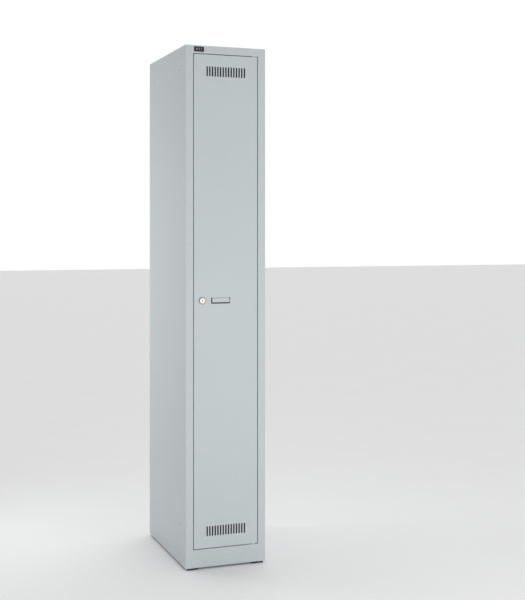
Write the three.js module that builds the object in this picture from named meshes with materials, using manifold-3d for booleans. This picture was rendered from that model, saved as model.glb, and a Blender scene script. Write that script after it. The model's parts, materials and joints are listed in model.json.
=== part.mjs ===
// Single-door clothes locker, an assembly of folded sheet-steel pieces.
// Millimetres. +X is right, -Y is the door side, +Z is up. The origin is on the floor, in the
// middle of the locker's overall width and depth.
import * as THREE from 'three';
import { mergeVertices } from 'three/addons/utils/BufferGeometryUtils.js';
import Module from 'manifold-3d';

const wasm = await Module();
wasm.setup();

// ---- Driving dimensions ------------------------------------------------------------------

// Casing
const bodyWidth = 300;
const bodyDepth = 500;
const bodyHeight = 1850;
const sheet = 1; // thickness of the sheet steel
const bendRadius = 1.5; // outside radius of a fold
const seamGap = 0.3; // between pieces that are welded or laid face to face
const stileWidth = 28; // frame face at each side of the door
const headerHeight = 28; // frame face above the door
const plinthHeight = 64; // frame face below the door
const stopLip = 10; // how far the door stop stands into the opening
const stopFlange = 12; // door stop's flange welded behind the stile
const stileLeg = 12; // stile's fold along the side
const rearFlange = 15; // folded behind the back panel
const rearLeg = 3; // rear flange's fold along the side
const headerFlange = 40; // header folded back over the top panel
const panFlange = 18; // edges of the top and floor pans folded down
const baseFlange = 50; // plinth folded back to carry the front feet
const channelHeight = 35; // upright leg of the rear base channel
const channelFlange = 45; // flat leg of the rear base channel

// Holes that link lockers side by side
const linkHoleRadius = 3;
const linkHoleInset = 78; // from the front and back faces
const linkHoleBelowTop = 80;
const linkHoleAboveBase = 142;

// Door
const doorGap = 2.5; // all round the door
const doorDepth = 16;
const doorLip = 10; // inner lip of the door pan
const stopClearance = 2.5; // behind the door, where the buffers stand
const swingClearance = 0.25; // between the turning door edge and the stile
const ventCount = 15;
const ventPitch = 10;
const ventWidth = 5.2;
const ventHeight = 36;
const ventInset = 60; // vent middle to the door's edge
const stiffenerX = 60;
const stiffenerCrown = 20;
const stiffenerBrim = 12;
const stiffenerDepth = 12;
const stiffenerClear = 10; // from the vents

// Pull, a flap of the door skin with a closed cup behind it
const pullWidth = 70.6;
const pullHeight = 22;
const pullFromLock = 68.1; // middle of the pull to the lock
const pullProud = 3.5; // how far the flap stands out
const pullSlope = 4; // height of the flap's sloping part
const pullSideGap = 3.1;
const pullBottomGap = 4.3;
const pullHem = 3; // lower edge turned in
const cupMargin = 2; // cup wall outside the cut-out
const cupFlange = 6;
const cupDepth = 13;

// Pivots
const pinRadius = 3;
const pinReach = 12; // into the door
const pinHeadRadius = 6;
const pinHeadHeight = 3;
const bushRadius = 4.5;
const bushCollarSetback = 1; // behind the door's face
const bushFit = 0.3; // round the pin, and round the bush in its holes
const hingePlate = 2;
const hingePlateLength = 34;
const hingePlateWidth = 11;

// Lock
const lockHeight = 945; // above the body's lower edge
const lockInset = 31.5; // from the door's free edge
const bezelRim = 3; // outside the barrel
const bezelProud = 3.2;
const bezelBevel = 1.6;
const barrelRadius = 9.5;
const plugFaceRadius = 9;
const plugRadius = 6.5;
const plugHeadDepth = 1.8;
const plugFit = 0.3;
const tailSize = 7;
const keyholeWidth = 3.2;
const keyholeHeight = 8;
const keyholeDepth = 10;
const nutWall = 2.5; // across the flats, outside the barrel
const nutThickness = 3;
const washerThickness = 1;
const camThickness = 2;
const camWidth = 14;
const camHubRadius = 9.5;
const camClearance = 1.5; // behind the door stop
const camTipClearance = 3;
const camScrewRadius = 1.7;
const camScrewReach = 6;
const camScrewHeadRadius = 5;
const camScrewHeadHeight = 2.2;

// Inside fittings
const hatSpace = 270; // clear height above the shelf
const shelfSetback = 45; // behind the door face
const shelfFrontEdge = 25;
const shelfHem = 9;
const shelfRearEdge = 14;
const angleLeg = 18;
const railRadius = 8;
const railWall = 1.2;
const railDrop = 45; // rail middle below the shelf
const socketFlangeRadius = 17;
const socketPlate = 2;
const socketCollar = 10;
const socketWall = 2.5;
const hookWidth = 18;
const hookPlateHeight = 45;
const hookReach = 28;
const hookTip = 20;
const hookSheet = 2;
const hookBend = 6;
const hookDrop = 75; // hook plate's top below the shelf
const hookBehindRail = 110;
const bufferRadius = 3;
const bufferFromEnds = 300;

// Name plate
const plateWidth = 36.3;
const plateHeight = 17.5;
const plateThickness = 1.2;
const plateFromOpening = 3.5;
const plateBelowTop = 5;

// Feet
const footHeight = 7;
const footSize = 42;
const footInset = 7; // from the side faces
const footSetback = 5; // from the front and back faces
const footCorner = 3;
const footScrewClearance = 5; // behind the hinge stile's door stop
const footScrewRadius = 1.9;
const footScrewReach = 4.2; // into the foot
const footScrewHeadRadius = 4;
const footScrewHeadHeight = 2.4;

// Faceting
const bendSteps = 3; // per fold
const roundSides = 32;
const smallSides = 16;

// ---- Positions worked out from the dimensions --------------------------------------------

const front = -(bodyDepth + pullProud) / 2 + pullProud;
const back = front + bodyDepth;
const base = footHeight;
const top = base + bodyHeight;
const side = bodyWidth / 2;
const insideX = side - sheet - seamGap; // pieces between the side panels reach this far
const backPanelRear = back - sheet - seamGap;
const insideBack = backPanelRear - sheet - seamGap; // pieces in front of the back panel

const openHalf = side - stileWidth;
const openBottom = base + plinthHeight;
const openTop = top - headerHeight;
const frameHalf = openHalf - seamGap; // header and plinth fit between the stiles

const doorLeft = -openHalf + doorGap;
const doorRight = openHalf - doorGap;
const doorBottom = openBottom + doorGap;
const doorTop = openTop - doorGap;

// The pivot stands just far enough from the door's edge for its corners to pass the stile.
const pivotDepth = doorDepth / 2;
const swingRoom = doorGap - swingClearance;
const pivotInset = (pivotDepth ** 2 - swingRoom ** 2) / (2 * swingRoom);
const pivotX = doorRight - pivotInset;
const pivotY = front + pivotDepth;
const cornerSweep = pivotInset + swingRoom;
const bushCollarRadius = pivotDepth - bushCollarSetback;

const stopY = front + doorDepth + stopClearance;
const stopRear = stopY + sheet;
const hingeStopY = pivotY + cornerSweep + camClearance;

const lockX = doorLeft + lockInset;
const lockZ = base + lockHeight;
const camY = stopRear + camClearance;
const barrelEnd = camY - seamGap - plugFit;
const camReach = lockInset + doorGap - camTipClearance;
const bezelRadius = barrelRadius + bezelRim;
const nutAcrossFlats = 2 * (barrelRadius + nutWall);

const pullX = lockX + pullFromLock;
const cutLeft = pullX - pullWidth / 2;
const cutRight = pullX + pullWidth / 2;
const cutBottom = lockZ - pullHeight / 2;
const cutTop = lockZ + pullHeight / 2;

const topPanelTop = top - sheet - seamGap;
const shelfTop = topPanelTop - sheet - hatSpace;
const angleTop = shelfTop - sheet - seamGap;
const shelfFront = front + shelfSetback;
const railY = front + bodyDepth / 2;
const railZ = angleTop - railDrop;

// ---- Shape helpers -----------------------------------------------------------------------

const X = new THREE.Vector3(1, 0, 0);
const Y = new THREE.Vector3(0, 1, 0);
const Z = new THREE.Vector3(0, 0, 1);

// A closed three.js geometry as a solid whose faces point out.
function solid(geometry) {
  geometry.deleteAttribute('normal');
  geometry.deleteAttribute('uv');
  const merged = mergeVertices(geometry, 1e-4);
  const points = merged.attributes.position.array;
  const corners = merged.index.array;
  const a = new THREE.Vector3();
  const b = new THREE.Vector3();
  const c = new THREE.Vector3();
  const used = [];
  let volume = 0;
  for (let i = 0; i < corners.length; i += 3) {
    const [p, q, r] = corners.subarray(i, i + 3);
    if (p === q || q === r || r === p) continue;
    used.push(p, q, r);
    a.fromArray(points, 3 * p);
    b.fromArray(points, 3 * q);
    c.fromArray(points, 3 * r);
    volume += a.dot(b.cross(c));
  }
  if (volume < 0) used.reverse();
  const mesh = new wasm.Mesh({ numProp: 3, vertProperties: points, triVerts: Uint32Array.from(used) });
  return new wasm.Manifold(mesh);
}

function geometryOf(manifold) {
  const mesh = manifold.getMesh();
  const geometry = new THREE.BufferGeometry();
  geometry.setAttribute('position', new THREE.BufferAttribute(mesh.vertProperties, 3));
  geometry.setIndex(new THREE.BufferAttribute(mesh.triVerts, 1));
  geometry.computeVertexNormals();
  return geometry;
}

function block(x0, x1, y0, y1, z0, z1) {
  const geometry = new THREE.BoxGeometry(x1 - x0, y1 - y0, z1 - z0);
  geometry.translate((x0 + x1) / 2, (y0 + y1) / 2, (z0 + z1) / 2);
  return solid(geometry);
}

// Extrudes a flat shape. Along X the shape's axes are (y, z), along Y (x, z), along Z (x, y).
function extrude(shape, axis, from, to, curveSegments = 3) {
  const geometry = new THREE.ExtrudeGeometry(shape, { depth: to - from, bevelEnabled: false, curveSegments });
  const turn = new THREE.Matrix4();
  if (axis === 'x') turn.makeBasis(Y, Z, X).setPosition(from, 0, 0);
  if (axis === 'y') turn.makeBasis(X, Z, Y.clone().negate()).setPosition(0, to, 0);
  if (axis === 'z') turn.setPosition(0, 0, from);
  geometry.applyMatrix4(turn);
  return solid(geometry);
}

// Turns a profile of [radius, distance] points about an axis through a point. The profile
// starts and ends on the axis, or closes on itself.
function turned(profile, axis, x, y, z, sides = roundSides) {
  const points = profile.map(([radius, along]) => new THREE.Vector2(radius, along));
  if (profile[0][0] > 0) points.push(points[0].clone());
  const geometry = new THREE.LatheGeometry(points, sides);
  if (axis === 'x') geometry.rotateZ(-Math.PI / 2);
  if (axis === 'z') geometry.rotateX(Math.PI / 2);
  geometry.translate(x, y, z);
  return solid(geometry);
}

function rod(radius, from, to, axis, x, y, z, sides = roundSides) {
  return turned([[0, from], [radius, from], [radius, to], [0, to]], axis, x, y, z, sides);
}

// The section of a folded sheet. The corners lie on one face of the sheet, and the sheet is on
// the left of the way they run.
function folded(corners, thickness = sheet, bend = bendRadius) {
  const path = corners.map(([u, v]) => new THREE.Vector2(u, v));
  const face = [];
  const rear = [];
  const lay = (point, normal) => {
    face.push(point);
    rear.push(point.clone().addScaledVector(normal, thickness));
  };
  const leftOf = (way) => new THREE.Vector2(-way.y, way.x);
  path.forEach((corner, i) => {
    const before = i > 0 ? corner.clone().sub(path[i - 1]).normalize() : null;
    const after = i < path.length - 1 ? path[i + 1].clone().sub(corner).normalize() : null;
    if (!before || !after) {
      lay(corner.clone(), leftOf(before ?? after));
      return;
    }
    const turn = Math.atan2(before.cross(after), before.dot(after));
    const hand = Math.sign(turn);
    const radius = hand > 0 ? bend : bend - thickness;
    const start = corner.clone().addScaledVector(before, -radius * Math.tan(Math.abs(turn) / 2));
    const centre = start.clone().addScaledVector(leftOf(before), hand * radius);
    for (let step = 0; step <= bendSteps; step += 1) {
      const normal = leftOf(before).rotateAround(new THREE.Vector2(), (turn * step) / bendSteps);
      lay(centre.clone().addScaledVector(normal, -hand * radius), normal);
    }
  });
  return new THREE.Shape([...face, ...rear.reverse()]);
}

function upright(width, height) {
  const radius = width / 2;
  const straight = height / 2 - radius;
  const shape = new THREE.Shape();
  shape.absarc(0, straight, radius, 0, Math.PI, false);
  shape.absarc(0, -straight, radius, Math.PI, 2 * Math.PI, false);
  return shape;
}

function roundedSquare(size, corner) {
  const flat = size / 2 - corner;
  const shape = new THREE.Shape();
  shape.absarc(flat, flat, corner, 0, Math.PI / 2, false);
  shape.absarc(-flat, flat, corner, Math.PI / 2, Math.PI, false);
  shape.absarc(-flat, -flat, corner, Math.PI, 1.5 * Math.PI, false);
  shape.absarc(flat, -flat, corner, 1.5 * Math.PI, 2 * Math.PI, false);
  return shape;
}

function cutAll(from, cutters) {
  return cutters.reduce((piece, cutter) => piece.subtract(cutter), from);
}

// ---- Finishes and scene graph ------------------------------------------------------------

const finishes = {
  paint: { color: '#c8d0d1', roughness: 0.5, metalness: 0.0 },
  zinc: { color: '#b4b8ba', roughness: 0.4, metalness: 0.9 },
  chrome: { color: '#d9d6cc', roughness: 0.15, metalness: 1.0 },
  nylon: { color: '#d5dad9', roughness: 0.55, metalness: 0.0 },
  rubber: { color: '#3b3d3e', roughness: 0.85, metalness: 0.0 },
  blackPlastic: { color: '#1a1b1c', roughness: 0.6, metalness: 0.0 },
  blackPlate: { color: '#141517', roughness: 0.35, metalness: 0.0 },
};

const locker = new THREE.Group();
const casing = new THREE.Group();
const door = new THREE.Group();
const lock = new THREE.Group();
locker.add(casing);
locker.add(door);
door.add(lock);

function addPiece(group, name, manifold, finish) {
  const mesh = new THREE.Mesh(geometryOf(manifold), new THREE.MeshStandardMaterial(finishes[finish]));
  mesh.name = name;
  group.add(mesh);
  return mesh;
}

// ---- Casing ------------------------------------------------------------------------------

// Each side is one folded sheet in three pieces that meet in its plane: the frame stile, the flat
// panel with its linking holes, and the rear flange.
const bothSides = (name, piece, finish) => {
  addPiece(casing, `left_${name}`, piece, finish);
  addPiece(casing, `right_${name}`, piece.mirror([1, 0, 0]), finish);
};
const stileSection = folded([
  [-side, front + stileLeg],
  [-side, front],
  [-openHalf, front],
]);
const flangeSection = folded([
  [rearFlange - side, back],
  [-side, back],
  [-side, back - rearLeg],
]);
const linkHoles = [];
for (const y of [front + linkHoleInset, back - linkHoleInset]) {
  for (const z of [top - linkHoleBelowTop, base + linkHoleAboveBase]) {
    linkHoles.push(rod(linkHoleRadius, -side - seamGap, -side + sheet + seamGap, 'x', 0, y, z, smallSides));
  }
}
const flatFront = front + stileLeg + seamGap;
const flatRear = back - rearLeg - seamGap;
const flatPanel = cutAll(block(-side, -side + sheet, flatFront, flatRear, base, top), linkHoles);
bothSides('stile', extrude(stileSection, 'z', base, top), 'paint');
bothSides('side_panel', flatPanel, 'paint');
bothSides('rear_flange', extrude(flangeSection, 'z', base, top), 'paint');

// Door stop welded behind a stile. Its lip ends between the stops of the header and plinth.
function doorStop(lipY) {
  const behindStile = front + sheet + seamGap;
  const section = folded([
    [-openHalf - stopFlange, behindStile],
    [-openHalf, behindStile],
    [-openHalf, lipY],
    [stopLip - openHalf, lipY],
  ]);
  const stopBottom = base + sheet + seamGap;
  const stopTop = topPanelTop - sheet - seamGap;
  const lipEnd = stopLip - openHalf + seamGap;
  const lipRear = lipY + sheet + seamGap;
  return cutAll(extrude(section, 'z', stopBottom, stopTop), [
    block(-openHalf, lipEnd, behindStile, lipRear, openTop - stopLip - seamGap, top),
    block(-openHalf, lipEnd, behindStile, lipRear, base, openBottom + stopLip + seamGap),
  ]);
}

addPiece(casing, 'left_door_stop', doorStop(stopY), 'paint');
addPiece(casing, 'right_door_stop', doorStop(hingeStopY).mirror([1, 0, 0]), 'paint');
addPiece(casing, 'back_panel', block(-insideX, insideX, backPanelRear - sheet, backPanelRear, base, top), 'paint');

// A pan whose two side edges are folded down along the side panels.
function pan(level, fromY, toY) {
  const section = folded([
    [insideX, level - panFlange],
    [insideX, level],
    [-insideX, level],
    [-insideX, level - panFlange],
  ]);
  return extrude(section, 'y', fromY, toY);
}

addPiece(casing, 'top_panel', pan(topPanelTop, front + sheet + seamGap, insideBack), 'paint');

const hingeStileCut = block(
  openHalf - stopLip - seamGap, side,
  front, hingeStopY + sheet + seamGap,
  openBottom - panFlange - sheet, openBottom + sheet,
);
const floorPan = pan(openBottom, stopRear + seamGap, insideBack).subtract(hingeStileCut);
addPiece(casing, 'floor_panel', floorPan, 'paint');

// The stops of the header and plinth start beside the lock stile's stop, and are cut away where
// the door's hinge edge turns.
const stopCutX = pivotX - cornerSweep;
function frameRail(section, lipFrom, lipTo) {
  const deep = stopRear + seamGap;
  const behindReturn = stopY - (bendRadius - sheet);
  return cutAll(extrude(section, 'x', -frameHalf, frameHalf), [
    block(-openHalf, stopLip - openHalf + seamGap, behindReturn, deep, lipFrom, lipTo),
    block(stopCutX, openHalf, behindReturn, deep, lipFrom, lipTo),
  ]);
}

const headerSection = folded([
  [front + headerFlange, top],
  [front, top],
  [front, openTop],
  [stopY, openTop],
  [stopY, openTop - stopLip],
]);
const header = frameRail(headerSection, openTop - stopLip - seamGap, openTop + sheet + seamGap);
const pinHole = (z) => rod(pinRadius + bushFit, z - doorGap, z + doorGap, 'z', pivotX, pivotY, 0);
addPiece(casing, 'header_rail', header.subtract(pinHole(openTop)), 'paint');

const plinthSection = folded([
  [stopY, openBottom + stopLip],
  [stopY, openBottom],
  [front, openBottom],
  [front, base],
  [front + baseFlange, base],
]);
const plinthFace = frameRail(plinthSection, openBottom - sheet - seamGap, openBottom + stopLip + seamGap);
const footFlange = block(-insideX, insideX, front + sheet + seamGap, front + baseFlange, base, base + sheet);

// Feet stand at the four corners, each under its flange and held by one screw from above.
const footX = side - footInset - footSize / 2;
const footFromFace = footSetback + footSize / 2;
const screwFromFace = hingeStopY + sheet + footScrewClearance + footScrewHeadRadius - front;
const screwOffset = screwFromFace - footFromFace; // from the foot's middle, towards the inside
const feet = [
  { name: 'front_left', x: -footX, y: front + footFromFace, inward: 1 },
  { name: 'front_right', x: footX, y: front + footFromFace, inward: 1 },
  { name: 'rear_left', x: -footX, y: back - footFromFace, inward: -1 },
  { name: 'rear_right', x: footX, y: back - footFromFace, inward: -1 },
];
const screwHoles = feet.map(({ x, y, inward }) => {
  const reach = sheet + seamGap;
  const holeRadius = footScrewRadius + seamGap;
  return rod(holeRadius, base - reach, base + reach, 'z', x, y + inward * screwOffset, 0, smallSides);
});
const plinth = cutAll(plinthFace.add(footFlange), [pinHole(openBottom), ...screwHoles]);
addPiece(casing, 'plinth_rail', plinth, 'paint');

const channelSection = folded([
  [insideBack - channelFlange, base],
  [insideBack, base],
  [insideBack, base + channelHeight],
]);
const channel = cutAll(extrude(channelSection, 'x', -insideX, insideX), screwHoles);
addPiece(casing, 'rear_base_channel', channel, 'paint');

const footShape = roundedSquare(footSize, footCorner);
for (const { name, x, y, inward } of feet) {
  const screwY = inward * screwOffset;
  const padTop = footHeight - seamGap;
  const holeBottom = footHeight - footScrewReach - seamGap;
  const hole = rod(footScrewRadius + seamGap, holeBottom, footHeight, 'z', 0, screwY, 0, smallSides);
  const pad = extrude(footShape, 'z', 0, padTop).subtract(hole);
  addPiece(casing, `${name}_foot`, pad, 'blackPlastic').position.set(x, y, 0);

  const underHead = sheet + seamGap;
  const screw = turned([
    [0, -footScrewReach],
    [footScrewRadius, -footScrewReach],
    [footScrewRadius, underHead],
    [footScrewHeadRadius, underHead],
    [footScrewHeadRadius - 0.6, underHead + footScrewHeadHeight],
    [0, underHead + footScrewHeadHeight],
  ], 'z', 0, 0, 0, smallSides);
  addPiece(casing, `${name}_foot_screw`, screw, 'zinc').position.set(x, y + screwY, base);
}

// ---- Inside fittings ---------------------------------------------------------------------

const shelfSection = folded([
  [insideBack, shelfTop - shelfRearEdge],
  [insideBack, shelfTop],
  [shelfFront, shelfTop],
  [shelfFront, shelfTop - shelfFrontEdge],
  [shelfFront + shelfHem, shelfTop - shelfFrontEdge],
]);
addPiece(casing, 'hat_shelf', extrude(shelfSection, 'x', -insideX + seamGap, insideX - seamGap), 'paint');

const angleSection = folded([
  [angleLeg - insideX, angleTop],
  [-insideX, angleTop],
  [-insideX, angleTop - angleLeg],
]);
const angleFront = shelfFront + shelfHem + sheet;
const angleRear = insideBack - 2 * sheet;

const socketBore = railRadius + seamGap;
const railEnd = insideX - socketPlate - seamGap;
const socketProfile = [
  [0, 0],
  [socketFlangeRadius, 0],
  [socketFlangeRadius, socketPlate],
  [socketBore + socketWall, socketPlate],
  [socketBore + socketWall, socketPlate + socketCollar],
  [socketBore, socketPlate + socketCollar],
  [socketBore, socketPlate],
  [0, socketPlate],
];

const hookTop = angleTop - hookDrop;
const hookBottom = hookTop - hookPlateHeight;
const hookY = railY + hookBehindRail;
const hookSection = folded([
  [-insideX, hookTop],
  [-insideX, hookBottom],
  [hookReach - insideX, hookBottom],
  [hookReach - insideX, hookBottom + hookTip],
], hookSheet, hookBend);

bothSides('shelf_angle', extrude(angleSection, 'y', angleFront, angleRear), 'paint');
bothSides('rail_socket', turned(socketProfile, 'x', -insideX, railY, railZ), 'zinc');
bothSides('coat_hook', extrude(hookSection, 'y', hookY - hookWidth / 2, hookY + hookWidth / 2), 'zinc');

const railTube = turned([
  [railRadius - railWall, -railEnd],
  [railRadius, -railEnd],
  [railRadius, railEnd],
  [railRadius - railWall, railEnd],
], 'x', 0, railY, railZ);
addPiece(casing, 'clothes_rail', railTube, 'zinc');

// Rubber buffers on the lock stile's stop.
const bufferX = (doorLeft + stopLip - openHalf) / 2;
for (const [name, z] of [['lower', base + bufferFromEnds], ['upper', top - bufferFromEnds]]) {
  const pad = turned([
    [0, seamGap - stopClearance],
    [bufferRadius - 0.7, seamGap - stopClearance],
    [bufferRadius, seamGap - stopClearance + 0.7],
    [bufferRadius, -seamGap],
    [0, -seamGap],
  ], 'y', bufferX, stopY, z, smallSides);
  addPiece(casing, `${name}_door_buffer`, pad, 'rubber');
}

// Name plate on the header, above the door's free corner.
const plateLeft = plateFromOpening - openHalf;
const plateTop = top - plateBelowTop;
const plate = block(
  plateLeft, plateLeft + plateWidth,
  front - seamGap - plateThickness, front - seamGap,
  plateTop - plateHeight, plateTop,
);
addPiece(casing, 'name_plate', plate, 'blackPlate');

// ---- Pivots ------------------------------------------------------------------------------

// Each pivot is modelled for the lower end, with height 0 on the frame's surface, and turned
// over for the upper end. The pin is headed behind the frame, and the bush sits in the door.
const plateLow = doorGap + sheet + seamGap;
const plateHigh = plateLow + hingePlate;
const pinProfile = [
  [0, -sheet - seamGap - pinHeadHeight],
  [pinHeadRadius, -sheet - seamGap - pinHeadHeight],
  [pinHeadRadius, -sheet - seamGap],
  [pinRadius, -sheet - seamGap],
  [pinRadius, pinReach],
  [0, pinReach],
];
const bushProfile = [
  [pinRadius + bushFit, swingClearance],
  [bushCollarRadius, swingClearance],
  [bushCollarRadius, doorGap - seamGap],
  [bushRadius, doorGap - seamGap],
  [bushRadius, plateHigh],
  [pinRadius + bushFit, plateHigh],
];
const bushHole = rod(bushRadius + bushFit, 0, plateHigh + seamGap, 'z', pivotX, pivotY, 0);
const hingeSection = folded([
  [front + sheet + seamGap, plateHigh + hingePlateWidth],
  [front + sheet + seamGap, plateLow],
  [front + sheet + seamGap + hingePlateWidth + sheet, plateLow],
], hingePlate, bendRadius + sheet);
const hingeRight = doorRight - sheet - seamGap;
const hingeBlank = extrude(hingeSection, 'x', hingeRight - hingePlateLength, hingeRight);
const hingePlateSolid = hingeBlank.subtract(bushHole);

for (const end of ['lower', 'upper']) {
  const placed = (piece) => {
    const turnedOver = end === 'lower' ? piece : piece.mirror([0, 0, 1]);
    return turnedOver.translate([0, 0, end === 'lower' ? openBottom : openTop]);
  };
  addPiece(casing, `${end}_pivot_pin`, placed(turned(pinProfile, 'z', pivotX, pivotY, 0)), 'zinc');
  addPiece(door, `${end}_pivot_bush`, placed(turned(bushProfile, 'z', pivotX, pivotY, 0)), 'nylon');
  addPiece(door, `${end}_hinge_plate`, placed(hingePlateSolid), 'paint');
}

// ---- Door --------------------------------------------------------------------------------

const doorRear = front + doorDepth;
const doorSection = folded([
  [doorLeft + doorLip, doorRear],
  [doorLeft, doorRear],
  [doorLeft, front],
  [doorRight, front],
  [doorRight, doorRear],
  [doorRight - doorLip, doorRear],
]);
const inEdge = sheet / 2;
const doorEnd = (z0) => block(
  doorLeft + inEdge, doorRight - inEdge,
  front + inEdge, doorRear - sheet,
  z0, z0 + sheet,
);
const doorPan = extrude(doorSection, 'z', doorBottom, doorTop)
  .add(doorEnd(doorBottom))
  .add(doorEnd(doorTop - sheet));

const cutters = [
  rod(barrelRadius + plugFit, front - sheet, front + 2 * sheet, 'y', lockX, 0, lockZ),
  block(cutLeft, cutRight, front - sheet, front + 2 * sheet, cutBottom, cutTop),
  bushHole.translate([0, 0, openBottom]),
  bushHole.mirror([0, 0, 1]).translate([0, 0, openTop]),
];
const vent = extrude(upright(ventWidth, ventHeight), 'y', front - sheet, front + 2 * sheet);
const ventRows = [doorBottom + ventInset, doorTop - ventInset];
for (let i = 0; i < ventCount; i += 1) {
  const ventX = (i - (ventCount - 1) / 2) * ventPitch;
  for (const ventZ of ventRows) cutters.push(vent.translate([ventX, 0, ventZ]));
}

// The flap is left attached along the top of the cut-out. It slopes out, hangs straight, and its
// lower edge is turned back towards the cup.
const flapBottom = cutBottom + pullBottomGap;
const flapSection = folded([
  [front, cutTop + sheet],
  [front, cutTop],
  [front - pullProud, cutTop - pullSlope],
  [front - pullProud, flapBottom],
  [front - pullProud + pullHem, flapBottom],
]);
const flap = extrude(flapSection, 'x', cutLeft + pullSideGap, cutRight - pullSideGap);
addPiece(door, 'door_skin', cutAll(doorPan, cutters).add(flap), 'paint');

// Cup behind the pull, open to the front, with a welding flange round its mouth.
const behindSkin = front + sheet + seamGap;
const cupBox = (grow, fromY, toY) => block(
  cutLeft - cupMargin - grow, cutRight + cupMargin + grow,
  fromY, toY,
  cutBottom - cupMargin - grow, cutTop + cupMargin + grow,
);
const cup = cupBox(sheet, behindSkin, front + cupDepth + sheet)
  .add(cupBox(sheet + cupFlange, behindSkin, behindSkin + sheet))
  .subtract(cupBox(0, front, front + cupDepth));
addPiece(door, 'pull_cup', cup, 'blackPlastic');

const halfCrown = stiffenerCrown / 2;
const crownY = behindSkin + stiffenerDepth;
const stiffenerSection = folded([
  [stiffenerX - halfCrown - stiffenerBrim, behindSkin],
  [stiffenerX - halfCrown, behindSkin],
  [stiffenerX - halfCrown, crownY],
  [stiffenerX + halfCrown, crownY],
  [stiffenerX + halfCrown, behindSkin],
  [stiffenerX + halfCrown + stiffenerBrim, behindSkin],
]);
const stiffenerEnd = ventInset + ventHeight / 2 + stiffenerClear;
const stiffener = extrude(stiffenerSection, 'z', doorBottom + stiffenerEnd, doorTop - stiffenerEnd);
addPiece(door, 'door_stiffener', stiffener, 'paint');

// ---- Lock --------------------------------------------------------------------------------

// Distances along the lock are measured back from the door's face.
const bezelFront = -bezelProud;
const barrelRear = barrelEnd - front;
const headSeat = bezelFront + plugFit + plugHeadDepth + plugFit;
const plugRear = barrelRear + seamGap;
const tailRear = camY + camThickness - seamGap;
const lockAt = (profile, sides) => turned(profile, 'y', lockX, front, lockZ, sides);

const housing = lockAt([
  [plugFaceRadius + plugFit, bezelFront],
  [bezelRadius - bezelBevel, bezelFront],
  [bezelRadius, bezelFront + bezelBevel],
  [bezelRadius, -seamGap],
  [barrelRadius, -seamGap],
  [barrelRadius, barrelRear],
  [plugRadius + plugFit, barrelRear],
  [plugRadius + plugFit, headSeat],
  [plugFaceRadius + plugFit, headSeat],
]);
addPiece(door, 'lock_housing', housing, 'chrome');

const washerFront = sheet + seamGap;
const washerRear = washerFront + washerThickness;
const washerOuter = nutAcrossFlats / 2 + sheet;
const washer = lockAt([
  [barrelRadius + plugFit, washerFront],
  [washerOuter, washerFront],
  [washerOuter, washerRear],
  [barrelRadius + plugFit, washerRear],
]);
addPiece(door, 'lock_washer', washer, 'zinc');

const nutCorner = nutAcrossFlats / Math.sqrt(3);
const nutFront = washerRear + seamGap;
const nutBore = rod(barrelRadius + plugFit, nutFront - sheet, nutFront + nutThickness + sheet, 'y', lockX, front, lockZ);
const nut = lockAt([
  [0, nutFront],
  [nutCorner, nutFront],
  [nutCorner, nutFront + nutThickness],
  [0, nutFront + nutThickness],
], 6).subtract(nutBore);
addPiece(door, 'lock_nut', nut, 'zinc');

const keyhole = extrude(upright(keyholeWidth, keyholeHeight), 'y', -bezelProud, keyholeDepth);
const tail = block(
  lockX - tailSize / 2, lockX + tailSize / 2,
  front + keyholeDepth + sheet, tailRear,
  lockZ - tailSize / 2, lockZ + tailSize / 2,
);
const screwBottom = tailRear - camScrewReach;
const screwHole = rod(camScrewRadius + seamGap, screwBottom - sheet, tailRear + sheet, 'y', lockX, 0, lockZ, smallSides);
const plug = lockAt([
  [0, bezelFront + plugFit],
  [plugFaceRadius, bezelFront + plugFit],
  [plugFaceRadius, headSeat - plugFit],
  [plugRadius, headSeat - plugFit],
  [plugRadius, plugRear],
  [0, plugRear],
]);
const cutPlug = cutAll(plug.add(tail), [keyhole.translate([lockX, front, lockZ]), screwHole]);
addPiece(lock, 'lock_plug', cutPlug, 'chrome');

// The cam hangs straight down when unlocked, and turns a quarter turn to pass behind the stop.
const camShape = new THREE.Shape();
const camHalf = camWidth / 2;
const hubAngle = Math.asin(camHalf / camHubRadius);
camShape.absarc(0, 0, camHubRadius, hubAngle - Math.PI / 2, 1.5 * Math.PI - hubAngle, false);
camShape.absarc(0, camHalf - camReach, camHalf, Math.PI, 2 * Math.PI, false);
const squareHole = block(
  -tailSize / 2 - seamGap, tailSize / 2 + seamGap,
  -camThickness, 2 * camThickness,
  -tailSize / 2 - seamGap, tailSize / 2 + seamGap,
);
const cam = extrude(camShape, 'y', 0, camThickness, 8).subtract(squareHole);
addPiece(lock, 'lock_cam', cam, 'zinc').position.set(lockX, camY, lockZ);

const underCamHead = camThickness + seamGap;
const camScrew = turned([
  [0, camThickness - seamGap - camScrewReach],
  [camScrewRadius, camThickness - seamGap - camScrewReach],
  [camScrewRadius, underCamHead],
  [camScrewHeadRadius, underCamHead],
  [camScrewHeadRadius - 0.8, underCamHead + camScrewHeadHeight],
  [0, underCamHead + camScrewHeadHeight],
], 'y', 0, 0, 0, smallSides);
addPiece(lock, 'cam_screw', camScrew, 'zinc').position.set(lockX, camY, lockZ);

export default locker;
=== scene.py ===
"""A single-door clothes locker of folded sheet steel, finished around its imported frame.

Metres. +X is right, -Y is the door side and +Z is up, as in the frame.
"""

import json
import math

import bmesh
import bpy
from bpy.props import FloatProperty, FloatVectorProperty, IntProperty, PointerProperty, StringProperty
from mathutils import Matrix, Vector


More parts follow.
